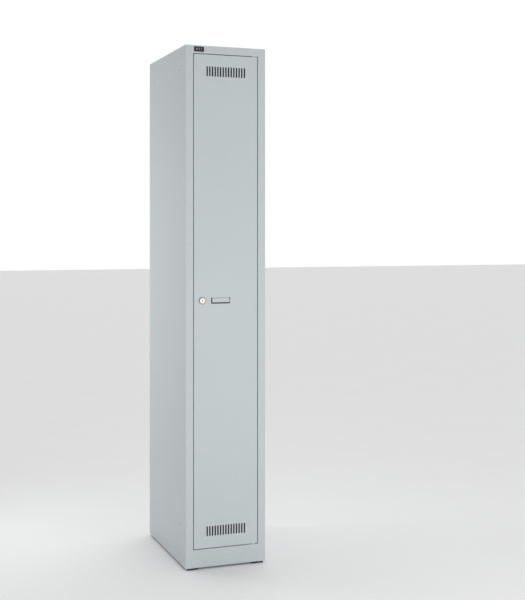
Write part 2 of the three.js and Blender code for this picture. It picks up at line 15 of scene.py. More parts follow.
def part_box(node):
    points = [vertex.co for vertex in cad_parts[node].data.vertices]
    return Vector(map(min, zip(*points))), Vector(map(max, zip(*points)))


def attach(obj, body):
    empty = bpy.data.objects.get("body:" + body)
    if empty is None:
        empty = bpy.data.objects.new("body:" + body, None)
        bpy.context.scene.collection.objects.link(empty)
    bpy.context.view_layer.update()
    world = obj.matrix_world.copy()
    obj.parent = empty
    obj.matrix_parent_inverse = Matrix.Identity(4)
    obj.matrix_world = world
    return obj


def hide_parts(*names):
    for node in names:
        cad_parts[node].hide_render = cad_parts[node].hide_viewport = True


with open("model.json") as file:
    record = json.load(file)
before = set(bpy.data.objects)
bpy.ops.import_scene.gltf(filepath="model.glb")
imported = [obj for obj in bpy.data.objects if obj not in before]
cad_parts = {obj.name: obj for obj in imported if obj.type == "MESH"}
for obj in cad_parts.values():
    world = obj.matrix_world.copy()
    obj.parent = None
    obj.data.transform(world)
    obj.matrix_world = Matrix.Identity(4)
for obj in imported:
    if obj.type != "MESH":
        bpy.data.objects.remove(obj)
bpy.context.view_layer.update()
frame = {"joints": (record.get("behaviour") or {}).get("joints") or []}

bl_info = {
    "name": "Clothes Locker",
    "version": (1, 0, 0),
    "blender": (4, 5, 0),
    "location": "View3D > Sidebar > Locker",
    "description": "Builds the pieces of a steel clothes locker and their finishes",
    "category": "Add Mesh",
}

# ---- Places read from the frame -----------------------------------------------------------


def low(node):
    """Lowest corner of a frame node."""
    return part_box(node)[0]


def high(node):
    """Highest corner of a frame node."""
    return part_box(node)[1]


def middle(node):
    """Middle of a frame node's box."""
    return (low(node) + high(node)) / 2


SIDE = high("right_side_panel").x
FRONT = low("left_stile").y
BACK = high("left_rear_flange").y
BASE = low("left_side_panel").z
TOP = high("left_side_panel").z
INSIDE = high("back_panel").x
STOP_TIP = high("left_door_stop").x
DOOR_LEFT = low("door_skin").x
DOOR_RIGHT = high("door_skin").x
DOOR_BOTTOM = low("door_skin").z
DOOR_TOP = high("door_skin").z
DOOR_REAR = high("door_skin").y
PIVOT = Vector(frame["joints"][0]["pos_m"])
LOCK_X = middle("lock_plug").x
LOCK_Z = middle("lock_plug").z


# ---- Sizes and finishes that a user would change ------------------------------------------


def length(name, description, default):
    """A length property in metres."""
    return FloatProperty(name=name, description=description, default=default, unit="LENGTH", precision=4)


def number(name, description, default, **more):
    """A plain number."""
    return FloatProperty(name=name, description=description, default=default, **more)


def colour(name, description, default):
    """A colour property."""
    return FloatVectorProperty(
        name=name, description=description, default=default,
        subtype="COLOR", size=3, min=0.0, max=1.0,
    )


class SheetSizes(bpy.types.PropertyGroup):
    """Sheet steel and the way it is folded."""

    thickness: length("Thickness", "Thickness of the sheet steel", 0.001)
    bend: length("Bend radius", "Outside radius of a fold", 0.0015)
    seam: length("Seam", "Gap between pieces welded face to face", 0.0003)
    edge: length("Edge round", "Rounding of a coated sheet edge", 0.0002)
    fold_steps: IntProperty(name="Fold steps", description="Segments in each fold", default=6, min=1)


class CasingSizes(bpy.types.PropertyGroup):
    """Folds of the casing."""

    rear_flange: length("Rear flange", "Side panel folded behind the back panel", 0.015)
    stop_flange: length("Stop flange", "Door stop's flange welded behind the stile", 0.012)
    header_flange: length("Header flange", "Header folded back over the top", 0.040)
    pan_flange: length("Pan flange", "Edges of the top and floor folded down", 0.018)
    base_flange: length("Base flange", "Plinth folded back over the front feet", 0.050)
    stop_clearance: length("Stop clearance", "Gap behind the door for its buffers", 0.0025)
    swing_clearance: length("Swing clearance", "Gap that the turning door edge keeps", 0.00025)
    sweep_clearance: length("Sweep clearance", "Gap between the turning edge and the stop", 0.0015)
    link_hole: length("Link hole", "Radius of the holes that link lockers", 0.003)
    link_inset: length("Link hole inset", "Link holes from the front and back", 0.078)
    link_below: length("Link hole below top", "Upper link holes from the top", 0.080)
    link_above: length("Link hole above base", "Lower link holes from the base", 0.142)


class DoorSizes(bpy.types.PropertyGroup):
    """The door, its vents and its pull."""

    gap: length("Gap", "Gap all round the door", 0.0025)
    lip: length("Lip", "Inner lip of the door pan", 0.010)
    vent_count: IntProperty(name="Vents", description="Slots in each row", default=15, min=1)
    vent_pitch: length("Vent pitch", "Distance between slots", 0.010)
    vent_width: length("Vent width", "Width of a slot", 0.0052)
    vent_height: length("Vent height", "Height of a slot", 0.036)
    vent_inset: length("Vent inset", "Middle of a row from the door's end", 0.060)
    cup_margin: length("Cup margin", "Cup wall outside the cut-out", 0.002)
    cup_flange: length("Cup flange", "Flange round the cup", 0.006)
    cup_round: length("Cup round", "Rounded corners of the cup", 0.003)
    stiffener_brim: length("Stiffener brim", "Brims of the stiffener on the sheet", 0.012)
    pull_width: length("Pull width", "Width of the cut-out", 0.0706)
    pull_height: length("Pull height", "Height of the cut-out", 0.022)
    pull_slope: length("Pull slope", "Height of the flap's sloping part", 0.004)
    pull_side: length("Pull side gap", "Gap at each side of the flap", 0.0031)
    pull_below: length("Pull lower gap", "Gap under the flap", 0.0043)
    pull_hem: length("Pull hem", "Lower edge of the flap turned in", 0.003)


class PivotSizes(bpy.types.PropertyGroup):
    """Pins, bushes and hinge plates."""

    pin_shank: length("Pin shank", "Radius of a pin's shank", 0.003)
    pin_head: length("Pin head", "Depth of a pin's head", 0.003)
    pin_fit: length("Pin fit", "Gap round a pin", 0.0003)
    bush_body: length("Bush body", "Radius of a bush in the door", 0.0045)
    bush_collar: length("Bush collar", "Depth of a bush's collar", 0.00195)
    plate: length("Hinge plate", "Thickness of a hinge plate", 0.002)


class LockSizes(bpy.types.PropertyGroup):
    """The cam lock."""

    rim_bevel: length("Bezel bevel", "Bevel round the bezel", 0.0016)
    barrel: length("Barrel radius", "Radius of the lock barrel", 0.0095)
    plug: length("Plug radius", "Radius of the plug behind its head", 0.0065)
    fit: length("Fit", "Gap round the turning plug", 0.0003)
    head: length("Head depth", "Depth of the plug's head", 0.0018)
    tail: length("Tail", "Side of the square tail", 0.007)
    keyhole_width: length("Keyhole width", "Width of the keyhole", 0.0032)
    keyhole_height: length("Keyhole height", "Height of the keyhole", 0.008)
    keyhole_depth: length("Keyhole depth", "Depth of the keyhole", 0.010)
    screw_shank: length("Cam screw shank", "Radius of the cam screw's shank", 0.0017)
    keyway_sunk: length("Keyway sunk", "Keyway behind the plug's face", 0.0012)
    cam_width: length("Cam width", "Width of the cam's arm", 0.014)


class FittingSizes(bpy.types.PropertyGroup):
    """Shelf, rail, hooks, screws and feet."""

    shelf_front: length("Shelf front edge", "Front edge folded down", 0.025)
    shelf_hem: length("Shelf hem", "Front edge folded back", 0.009)
    shelf_rear: length("Shelf rear edge", "Rear edge folded down", 0.014)
    rail_wall: length("Rail wall", "Wall of the clothes rail", 0.0012)
    socket_plate: length("Socket plate", "Thickness of a rail socket's plate", 0.002)
    socket_wall: length("Socket wall", "Wall of a rail socket's collar", 0.0025)
    hook_sheet: length("Hook thickness", "Thickness of a coat hook", 0.002)
    hook_bend: length("Hook bend", "Bend radius of a coat hook", 0.006)
    hook_corner: length("Hook corner", "Rounded corners of a coat hook", 0.006)
    hook_tip: length("Hook tip", "Height of a coat hook's tip", 0.020)
    foot_round: length("Foot round", "Rounded corners of a foot", 0.003)
    foot_bore: length("Foot bore", "Radius of a foot's screw hole", 0.0022)
    screw_shank: length("Screw shank", "Radius of a foot screw's shank", 0.0019)
    rivet: length("Rivet radius", "Radius of a rivet head", 0.0032)


class FinishColours(bpy.types.PropertyGroup):
    """Colours of the finishes."""

    paint: colour("Powder coat", "Light grey powder coat", (0.585, 0.640, 0.655))
    zinc: colour("Zinc", "Zinc-plated fittings", (0.62, 0.63, 0.64))
    # The bezel's dark brown is painted shade and painted reflection laid on satin nickel.
    bezel: colour("Bezel", "Satin nickel bezel of the lock", (0.28, 0.255, 0.22))
    plug: colour("Plug", "Polished nickel face of the plug", (0.60, 0.57, 0.50))
    nylon: colour("Nylon", "Bushes of the pivots", (0.80, 0.83, 0.83))
    rubber: colour("Rubber", "Door buffers", (0.045, 0.047, 0.05))
    # On the pull's cup this black is painted shade for the recess round the flap; on the feet it is their own
    # colour.
    foot: colour("Black plastic", "Moulded feet and pull cup", (0.012, 0.012, 0.013))
    plate: colour("Plate", "Name plate", (0.008, 0.008, 0.010))
    figures: colour("Figures", "Locker number on the plate", (0.55, 0.56, 0.58))
    floor: colour("Studio floor", "Floor of the studio", (0.92, 0.92, 0.92))


class StudioSettings(bpy.types.PropertyGroup):
    """Camera and light."""

    camera_left: length("Camera to the left", "Camera from the locker's middle", 1.250)
    camera_away: length("Camera distance", "Camera in front of the door face", 3.738)
    camera_up: length("Camera height", "Camera above the body's lower edge", 1.192)
    camera_turn: number(
        "Camera turn", "Turn to the right of straight on", math.radians(20.39), subtype="ANGLE",
    )
    camera_lens: number("Lens", "Focal length in millimetres", 66.18)
    camera_shift: number("Shift", "Vertical lens shift", -0.1148)
    sky_front: number("Front", "Brightness of the room in front", 0.40)
    sky_back: number("Back", "Brightness of the backdrop", 1.0)
    sky_top: number("Top", "Extra brightness overhead", 0.35)
    sky_left: number("Left", "Share of the room's light from the left", 0.60)
    key: number("Key light", "Power of the front light", 28.0, unit="POWER")
    rear: number("Rear light", "Power of the rear left light", 3.0, unit="POWER")
    number: StringProperty(name="Number", description="Locker number on the plate", default="0 3 7")


class LockerSettings(bpy.types.PropertyGroup):
    """All the settings of the locker."""

    sheet: PointerProperty(type=SheetSizes)
    casing: PointerProperty(type=CasingSizes)
    door: PointerProperty(type=DoorSizes)
    pivot: PointerProperty(type=PivotSizes)
    lock: PointerProperty(type=LockSizes)
    fitting: PointerProperty(type=FittingSizes)
    finish: PointerProperty(type=FinishColours)
    studio: PointerProperty(type=StudioSettings)


def settings():
    """The locker's settings in this scene."""
    return bpy.context.scene.locker


# ---- Modelling tools ----------------------------------------------------------------------

AXES = {"x": Vector((1, 0, 0)), "y": Vector((0, 1, 0)), "z": Vector((0, 0, 1))}
SMOOTH_BELOW = math.radians(36)
CLOSE = 1e-5
SAME = 1e-6
QUARTER = [(math.cos(step * math.pi / 12), math.sin(step * math.pi / 12)) for step in range(7)]
ROUND_ABOVE = math.radians(50)


def box(bm, corner, opposite):
    """Adds a box and returns its vertices."""
    start, end = Vector(corner), Vector(opposite)
    verts = bmesh.ops.create_cube(bm, size=1.0)["verts"]
    bmesh.ops.scale(bm, verts=verts, vec=end - start)
    bmesh.ops.translate(bm, verts=verts, vec=(start + end) / 2)
    return verts


def edges_along(verts, axis):
    """Edges between these vertices that run along an axis."""
    way = AXES[axis]
    found = {edge for vert in verts for edge in vert.link_edges}
    return [
        edge for edge in found
        if abs((edge.verts[1].co - edge.verts[0].co).normalized().dot(way)) > 0.999
    ]


def round_edges(bm, edges, radius, segments=6):
    """Rounds edges with a circular profile."""
    bmesh.ops.bevel(
        bm, geom=edges, offset=radius, offset_type="OFFSET", segments=segments,
        profile=0.5, affect="EDGES", clamp_overlap=False, material=-1,
    )


def slot(bm, centre, width, height, depth):
    """Adds an upright slot with round ends, its depth along Y."""
    half = Vector((width, depth, height)) / 2
    verts = box(bm, centre - half, centre + half)
    round_edges(bm, edges_along(verts, "y"), width * 0.499, 8)


def drum(bm, centre, axis, radius, depth, segments=40):
    """Adds a cylinder along an axis."""
    turn = AXES["z"].rotation_difference(AXES[axis]).to_matrix().to_4x4()
    bmesh.ops.create_cone(
        bm, cap_ends=True, segments=segments, radius1=radius, radius2=radius,
        depth=depth, matrix=Matrix.Translation(centre) @ turn,
    )


def spun(profile, axis, centre, steps=64):
    """Spins a profile of (radius, distance) points about an axis through a centre."""
    bm = bmesh.new()
    out = AXES["x"] if axis != "x" else AXES["y"]
    along = AXES[axis]
    verts = [bm.verts.new(centre + out * radius + along * reach) for radius, reach in profile]
    pairs = list(zip(verts, verts[1:]))
    if profile[0][0] > 0:
        pairs.append((verts[-1], verts[0]))
    edges = [bm.edges.new(pair) for pair in pairs]
    bmesh.ops.spin(
        bm, geom=verts + edges, cent=centre, axis=along, angle=2 * math.pi,
        steps=steps, use_merge=True,
    )
    bmesh.ops.remove_doubles(bm, verts=bm.verts, dist=SAME)
    bmesh.ops.recalc_face_normals(bm, faces=bm.faces)
    return bm


def folded(corners, axis, start, end, thickness=None, bend=None):
    """A folded sheet as an open surface. The corners lie on one face of the sheet, and the sheet
    is on the left of the way they run, as seen with the axis pointing at the eye (Y: away)."""
    sheet = settings().sheet
    thickness = thickness or sheet.thickness
    bend = bend or sheet.bend
    order = {"x": (1, 2), "y": (0, 2), "z": (0, 1)}[axis]

    def spot(corner, reach):
        place = AXES[axis] * reach
        place[order[0]], place[order[1]] = corner
        return place

    bm = bmesh.new()
    verts = [bm.verts.new(spot(corner, start)) for corner in corners]
    edges = [bm.edges.new(pair) for pair in zip(verts, verts[1:])]
    grown = bmesh.ops.extrude_edge_only(bm, edges=edges)["geom"]
    moved = [item for item in grown if isinstance(item, bmesh.types.BMVert)]
    bmesh.ops.translate(bm, verts=moved, vec=AXES[axis] * (end - start))

    bm.faces.ensure_lookup_table()
    first = Vector(corners[1]) - Vector(corners[0])
    away = spot((first.y, -first.x), 0.0)
    bm.normal_update()
    first_edge = (verts[0].co + verts[1].co) / 2
    nearest = min(bm.faces, key=lambda face: (face.calc_center_median() - first_edge).length)
    if nearest.normal.dot(away) < 0:
        bmesh.ops.reverse_faces(bm, faces=bm.faces)

    for before, corner, after in zip(corners, corners[1:], corners[2:]):
        way_in = (Vector(corner) - Vector(before)).normalized()
        way_out = (Vector(after) - Vector(corner)).normalized()
        turn = math.atan2(way_in.x * way_out.y - way_in.y * way_out.x, way_in.dot(way_out))
        radius = bend if turn > 0 else bend - thickness
        here = spot(corner, 0.0)
        flat = Vector((1, 1, 1)) - AXES[axis]
        fold = [
            edge for edge in bm.edges
            if all(((vert.co - here) * flat).length < SAME for vert in edge.verts)
        ]
        round_edges(bm, fold, radius * math.tan(abs(turn) / 2), sheet.fold_steps)
    return bm


def settle(piece):
    """Replaces a piece's mesh with what its modifiers make of it."""
    graph = bpy.context.evaluated_depsgraph_get()
    shaped = bpy.data.meshes.new_from_object(piece.evaluated_get(graph))
    plain = piece.data
    piece.modifiers.clear()
    piece.data = shaped
    bpy.data.meshes.remove(plain)


def new_object(name, bm):
    """Puts a bmesh into the scene as an object."""
    mesh = bpy.data.meshes.new(name)
    bm.to_mesh(mesh)
    bm.free()
    made = bpy.data.objects.new(name, mesh)
    bpy.context.scene.collection.objects.link(made)
    return made


def mark_edges(piece, keep):
    """Marks the sharp edges that get rounded, all but those that are kept."""
    bm = bmesh.new()
    bm.from_mesh(piece.data)
    weight = bm.edges.layers.float.new("bevel_weight_edge")
    for edge in bm.edges:
        sharp = len(edge.link_faces) == 2 and edge.calc_face_angle() > ROUND_ABOVE
        if sharp and not (keep and keep(edge)):
            edge[weight] = 1.0
    bm.to_mesh(piece.data)
    bm.free()


def make(name, bm, thickness=0.0, cutter=None, rounding=None, keep=None):
    """Makes a piece: thickens a sheet, cuts it, rounds its edges and smooths its shading."""
    piece = new_object(name, bm)
    if thickness:
        wall = piece.modifiers.new("Wall", "SOLIDIFY")
        wall.thickness = thickness
        wall.offset = -1.0
        wall.use_even_offset = True
        settle(piece)
    if cutter is not None:
        tool = new_object(name + "_cutter", cutter)
        cut = piece.modifiers.new("Cut", "BOOLEAN")
        cut.operation = "DIFFERENCE"
        cut.solver = "EXACT"
        cut.use_self = True
        cut.object = tool
        settle(piece)
        bpy.data.objects.remove(tool)
    edge = settings().sheet.edge if rounding is None else rounding
    if edge:
        mark_edges(piece, keep)
        bevel = piece.modifiers.new("Edge", "BEVEL")
        bevel.width = edge
        bevel.segments = 2
        bevel.limit_method = "WEIGHT"
        settle(piece)
    piece.data.polygons.foreach_set("use_smooth", [True] * len(piece.data.polygons))
    piece.data.set_sharp_from_angle(angle=SMOOTH_BELOW)
    shade = piece.modifiers.new("Shade", "WEIGHTED_NORMAL")
    shade.keep_sharp = True
    settle(piece)
    return piece


def fit(piece, body, look, *nodes):
    """Gives a piece its finish, lets it ride on its body and stand for its nodes."""
    piece.data.materials.clear()
    piece.data.materials.append(look())
    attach(piece, body)
    if nodes:
        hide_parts(*nodes)
    return piece


def on_side(hand, *parts):
    """Mirrors parts made for the left side when they are for the right."""
    for bm in parts:
        if hand == "right":
            bmesh.ops.scale(bm, verts=bm.verts, vec=(-1, 1, 1))
            bmesh.ops.reverse_faces(bm, faces=bm.faces)


# ---- Finishes -----------------------------------------------------------------------------


def new_group(name, inputs, outputs):
    """A shader node group with named float sockets. Returns its nodes and links."""
    group = bpy.data.node_groups.new(name, "ShaderNodeTree")
    for label, value in inputs:
        made = group.interface.new_socket(label, in_out="INPUT", socket_type="NodeSocketFloat")
        made.default_value = value
    for label in outputs:
        group.interface.new_socket(label, in_out="OUTPUT", socket_type="NodeSocketFloat")
    nodes = group.nodes
    nodes.new("NodeGroupInput").name = "In"
    nodes.new("NodeGroupOutput").name = "Out"
    return group, nodes, group.links


def noise(nodes, links, vector, scale, detail, source=None):
    """A noise texture, its scale fixed or taken from a socket."""
    made = nodes.new("ShaderNodeTexNoise")
    made.inputs["Detail"].default_value = detail
    made.inputs["Scale"].default_value = scale
    if source:
        links.new(source, made.inputs["Scale"])
    links.new(vector, made.inputs["Vector"])
    return made.outputs["Fac"]


def spread(nodes, links, value, low_value, high_value, from_low=0.35, from_high=0.65):
    """Spreads a value over a new range."""
    made = nodes.new("ShaderNodeMapRange")
    made.inputs["From Min"].default_value = from_low
    made.inputs["From Max"].default_value = from_high
    made.inputs["To Min"].default_value = low_value
    made.inputs["To Max"].default_value = high_value
    links.new(value, made.inputs["Value"])
    return made.outputs["Result"]


def sums(nodes, links, operation, *values):
    """A math node on sockets or plain numbers."""
    made = nodes.new("ShaderNodeMath")
    made.operation = operation
    for place, value in enumerate(values):
        if isinstance(value, (int, float)):
            made.inputs[place].default_value = value
        else:
            links.new(value, made.inputs[place])
    return made.outputs[0]


def coating_group():
    """Fine grain and slow drift of a coated or plated surface."""
    group, nodes, links = new_group(
        "Coating",
        [("Grain Scale", 900.0), ("Drift Scale", 3.0), ("Streak", 0.0)],
        ["Height", "Drift", "Speckle"],
    )
    where = nodes.new("ShaderNodeTexCoord").outputs["Object"]
    taken = nodes["In"].outputs
    given = nodes["Out"].inputs
    fine = noise(nodes, links, where, 900.0, 2.0, taken["Grain Scale"])
    slow = noise(nodes, links, where, 3.0, 3.0, taken["Drift Scale"])
    stretch = nodes.new("ShaderNodeMapping")
    stretch.inputs["Scale"].default_value = (1.0, 1.0, 0.02)
    links.new(where, stretch.inputs["Vector"])
    brushed = noise(nodes, links, stretch.outputs["Vector"], 1400.0, 2.0)
    rest = sums(nodes, links, "SUBTRACT", 1.0, taken["Streak"])
    grain = sums(nodes, links, "MULTIPLY", fine, rest)
    streak = sums(nodes, links, "MULTIPLY", brushed, taken["Streak"])
    links.new(sums(nodes, links, "ADD", grain, streak), given["Height"])
    links.new(spread(nodes, links, slow, 0.0, 1.0), given["Drift"])
    coarse = sums(nodes, links, "MULTIPLY", taken["Grain Scale"], 0.45)
    speckle = noise(nodes, links, where, 400.0, 1.0, coarse)
    links.new(spread(nodes, links, speckle, 0.0, 1.0), given["Speckle"])
    return group


def dust_group():
    """Mask of fine dust settled on upward faces."""
    group, nodes, links = new_group("Settled Dust", [("Patch Scale", 14.0)], ["Mask"])
    where = nodes.new("ShaderNodeTexCoord").outputs["Object"]
    patches = noise(nodes, links, where, 14.0, 6.0, nodes["In"].outputs["Patch Scale"])
    facing = nodes.new("ShaderNodeSeparateXYZ")
    links.new(nodes.new("ShaderNodeNewGeometry").outputs["Normal"], facing.inputs[0])
    upward = spread(nodes, links, facing.outputs["Z"], 0.0, 1.0, 0.6, 0.95)
    cover = spread(nodes, links, patches, 0.25, 1.0, 0.35, 0.7)
    links.new(sums(nodes, links, "MULTIPLY", upward, cover), nodes["Out"].inputs["Mask"])
    return group


def handling_group():
    """Mask of the area round the lock and pull that hands have polished."""
    group, nodes, links = new_group("Handling", [("Reach", 0.13)], ["Mask"])
    where = nodes.new("ShaderNodeTexCoord").outputs["Object"]
    place = nodes.new("ShaderNodeVectorMath")
    place.operation = "DISTANCE"
    pull = middle("pull_cup")
    place.inputs[1].default_value = ((pull.x + LOCK_X) / 2, FRONT, pull.z)
    links.new(where, place.inputs[0])
    near = nodes.new("ShaderNodeMapRange")
    near.inputs["To Min"].default_value = 1.0
    near.inputs["To Max"].default_value = 0.0
    links.new(place.outputs["Value"], near.inputs["Value"])
    links.new(nodes["In"].outputs["Reach"], near.inputs["From Max"])
    smears = noise(nodes, links, where, 60.0, 5.0)
    mask = sums(nodes, links, "MULTIPLY", near.outputs["Result"], spread(nodes, links, smears, 0.2, 1.0))
    links.new(mask, nodes["Out"].inputs["Mask"])
    return group


def shared(name, build):
    """A node group that is built the first time it is asked for."""
    return bpy.data.node_groups.get(name) or build()


def finish(
    name, base, roughness, metallic=0.0, grain=900.0, bump=0.05, depth=0.00006, drift=0.04,
    gloss_spread=0.06, streak=0.0, dust=0.0, handled=0.0, specular=0.5,
):
    """A finish with grain, slow tone drift, dust and handling marks."""
    found = bpy.data.materials.get(name)
    if found:
        return found
    made = bpy.data.materials.new(name)
    made.use_nodes = True
    nodes, links = made.node_tree.nodes, made.node_tree.links
    shader = nodes["Principled BSDF"]
    shader.inputs["Metallic"].default_value = metallic
    shader.inputs["Specular IOR Level"].default_value = specular

    coat = nodes.new("ShaderNodeGroup")
    coat.node_tree = shared("Coating", coating_group)
    coat.inputs["Grain Scale"].default_value = grain
    coat.inputs["Streak"].default_value = streak

    tone = nodes.new("ShaderNodeMix")
    tone.data_type = "RGBA"
    tone.inputs["A"].default_value = (*[part * (1 - drift) for part in base], 1)
    tone.inputs["B"].default_value = (*[min(1, part * (1 + drift)) for part in base], 1)
    blended = sums(nodes, links, "MULTIPLY_ADD", coat.outputs["Speckle"], 0.35, 0.0)
    wander = sums(nodes, links, "MULTIPLY_ADD", coat.outputs["Drift"], 0.65, blended)
    links.new(wander, tone.inputs["Factor"])
    result = tone.outputs["Result"]
    gloss = (roughness - gloss_spread, roughness + gloss_spread)
    rough = spread(nodes, links, coat.outputs["Drift"], *gloss, 0.0, 1.0)

    if dust:
        settled = nodes.new("ShaderNodeGroup")
        settled.node_tree = shared("Settled Dust", dust_group)
        cover = sums(nodes, links, "MULTIPLY", settled.outputs["Mask"], dust)
        over = nodes.new("ShaderNodeMix")
        over.data_type = "RGBA"
        over.inputs["B"].default_value = (0.62, 0.60, 0.57, 1)
        links.new(cover, over.inputs["Factor"])
        links.new(result, over.inputs["A"])
        result = over.outputs["Result"]
        rough = sums(nodes, links, "ADD", rough, sums(nodes, links, "MULTIPLY", cover, 0.3))
    if handled:
        hands = nodes.new("ShaderNodeGroup")
        hands.node_tree = shared("Handling", handling_group)
        worn = sums(nodes, links, "MULTIPLY", hands.outputs["Mask"], handled)
        rough = sums(nodes, links, "SUBTRACT", rough, worn)

    links.new(result, shader.inputs["Base Color"])
    links.new(rough, shader.inputs["Roughness"])
    relief = nodes.new("ShaderNodeBump")
    relief.inputs["Strength"].default_value = bump
    relief.inputs["Distance"].default_value = depth
    links.new(coat.outputs["Height"], relief.inputs["Height"])
    links.new(relief.outputs["Normal"], shader.inputs["Normal"])
    return made


def paint():
    """Light grey powder coat."""
    return finish(
        "powder_coat", settings().finish.paint, 0.46,
        grain=700.0, bump=0.30, depth=0.00008, drift=0.012, dust=0.12, handled=0.10, specular=0.4,
    )


def zinc():
    """Zinc-plated steel."""
    return finish(
        "zinc_plate", settings().finish.zinc, 0.34, metallic=1.0,
        grain=1200.0, bump=0.25, drift=0.08, gloss_spread=0.10, streak=0.5,
    )


def shaded_bezel_nickel():
    """Satin nickel of the bezel, darkened and browned with painted shade and painted reflection."""
    return finish(
        "shaded_bezel_nickel", settings().finish.bezel, 0.32, metallic=1.0,
        grain=2500.0, bump=0.15, drift=0.05,
    )


def plug_nickel():
    """Polished nickel of the plug."""
    return finish(
        "plug_nickel", settings().finish.plug, 0.32, metallic=0.6,
        grain=2500.0, bump=0.1, drift=0.03,
    )


def keyway_grease_and_shade():
    """Near-black steel inside the keyhole: greased steel, made darker still as painted shade of the deep
    slot.
    """
    return finish("keyway_grease_and_shade", (0.008, 0.007, 0.006), 0.6, specular=0.2, grain=3000.0, bump=0.3, drift=0.3)


def nylon():
    """Natural nylon of the bushes."""
    return finish("natural_nylon", settings().finish.nylon, 0.5, grain=1500.0, bump=0.2, drift=0.03)


def rubber():
    """Dark rubber of the buffers."""
    return finish("buffer_rubber", settings().finish.rubber, 0.8, grain=1800.0, bump=0.5, drift=0.15)


def black_plastic():
    """Black moulded plastic of the feet; on the pull's cup the black is painted shade that darkens the slots
    round the flap.
    """
    return finish(
        "black_plastic", settings().finish.foot, 0.55, grain=1500.0, bump=0.5, drift=0.2, dust=0.3,
    )


def plate_black():
    """Satin black of the name plate."""
    return finish("plate_black", settings().finish.plate, 0.35, grain=1800.0, bump=0.2, drift=0.2)


def plate_figures():
    """Light print of the figures."""
    return finish("plate_figures", settings().finish.figures, 0.5, grain=2500.0, bump=0.1, drift=0.05)


# ---- Casing -------------------------------------------------------------------------------


def open_half():
    """Half the width of the door opening."""
    return DOOR_RIGHT + settings().door.gap


def stop_y():
    """Front face of the door stop."""
    return DOOR_REAR + settings().casing.stop_clearance


def stop_lip():
    """How far the stop stands into the opening."""
    return STOP_TIP + open_half()


def hinge_stop_y():
    """Front face of the return's lip on the hinge stile, behind the turning door edge."""
    casing = settings().casing
    sweep = open_half() - PIVOT.x - casing.swing_clearance
    return PIVOT.y + sweep + casing.sweep_clearance


def side_panel(hand):
    """Side panel with its frame stile and rear flange, folded from one sheet."""
    sheet, casing, door = settings().sheet, settings().casing, settings().door
    corners = [
        (casing.rear_flange - SIDE, BACK),
        (-SIDE, BACK),
        (-SIDE, FRONT),
        (-open_half(), FRONT),
    ]
    bm = folded(corners, "z", BASE, TOP)
    open_bottom, open_top = DOOR_BOTTOM - door.gap, DOOR_TOP + door.gap
    for level in (open_bottom, open_top):
        whole = [*bm.verts, *bm.edges, *bm.faces]
        bmesh.ops.bisect_plane(bm, geom=whole, plane_co=(0, 0, level), plane_no=(0, 0, 1))
    cutter = bmesh.new()
    for y in (FRONT + casing.link_inset, BACK - casing.link_inset):
        for z in (TOP - casing.link_below, BASE + casing.link_above):
            drum(cutter, Vector((-SIDE, y, z)), "x", casing.link_hole, 4 * sheet.thickness)
    on_side(hand, bm, cutter)

    def welded(edge):
        """Tells an edge of the stile that the header or plinth is welded to."""
        heights = [vert.co.z for vert in edge.verts]
        beside = all(abs(abs(vert.co.x) - open_half()) < CLOSE for vert in edge.verts)
        return beside and (min(heights) > open_top - CLOSE or max(heights) < open_bottom + CLOSE)

    piece = make(f"{hand}_side_sheet", bm, sheet.thickness, cutter, keep=welded)
    nodes = (f"{hand}_side_panel", f"{hand}_stile", f"{hand}_rear_flange")
    return fit(piece, "casing", paint, *nodes)


def door_stop(hand, lip_y):
    """Door stop welded behind a stile, its lip ending between the header's and plinth's."""
    sheet, casing, door = settings().sheet, settings().casing, settings().door
    start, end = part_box(f"{hand}_door_stop")
    behind = FRONT + sheet.thickness + sheet.seam
    corners = [
        (-open_half() - casing.stop_flange, behind),
        (-open_half(), behind),
        (-open_half(), lip_y),
        (STOP_TIP, lip_y),
    ]
    bm = folded(corners, "z", start.z, end.z)
    deep = lip_y + sheet.thickness + sheet.seam
    lip_top = DOOR_TOP + door.gap - stop_lip() - sheet.seam
    lip_bottom = DOOR_BOTTOM - door.gap + stop_lip() + sheet.seam
    cutter = bmesh.new()
    box(cutter, (-open_half(), behind, lip_top), (STOP_TIP + sheet.seam, deep, TOP))
    box(cutter, (-open_half(), behind, BASE), (STOP_TIP + sheet.seam, deep, lip_bottom))
    on_side(hand, bm, cutter)
    piece = make(f"{hand}_stop_angle", bm, sheet.thickness, cutter)
    return fit(piece, "casing", paint, f"{hand}_door_stop")


def frame_rail(name, corners, lip_from, lip_to, node):
    """Header or plinth, its stop cut clear of the stiles and of the turning door edge."""
    sheet, casing = settings().sheet, settings().casing
    reach = open_half()
    bm = folded(corners, "x", -reach, reach)
    cutter = bmesh.new()
    behind = stop_y() - (sheet.bend - sheet.thickness)
    deep = stop_y() + sheet.thickness + sheet.seam
    sweep = open_half() - PIVOT.x - casing.swing_clearance
    over = reach + sheet.seam
    box(cutter, (-over, behind, lip_from), (STOP_TIP + sheet.seam, deep, lip_to))
    box(cutter, (PIVOT.x - sweep, behind, lip_from), (over, deep, lip_to))
    hole = high("upper_pivot_pin").z if node == "header_rail" else low("lower_pivot_pin").z
    drum(cutter, Vector((PIVOT.x, PIVOT.y, hole)), "z", settings().pivot.pin_shank + sheet.seam, 0.016)

    def welded(edge):
        """Tells an edge at an end of the rail, which is welded to a stile."""
        return all(abs(abs(vert.co.x) - reach) < CLOSE for vert in edge.verts)

    piece = make(name, bm, sheet.thickness, cutter, keep=welded)
    return fit(piece, "casing", paint, node)


class LOCKER_OT_side_panels(bpy.types.Operator):
    """Fold both side panels with their stiles, and the door stops behind them"""

    bl_idname = "locker.side_panels"
    bl_label = "Side Panels"

    def execute(self, context):
        for hand, lip_y in (("left", stop_y()), ("right", hinge_stop_y())):
            side_panel(hand)
            door_stop(hand, lip_y)
        return {"FINISHED"}


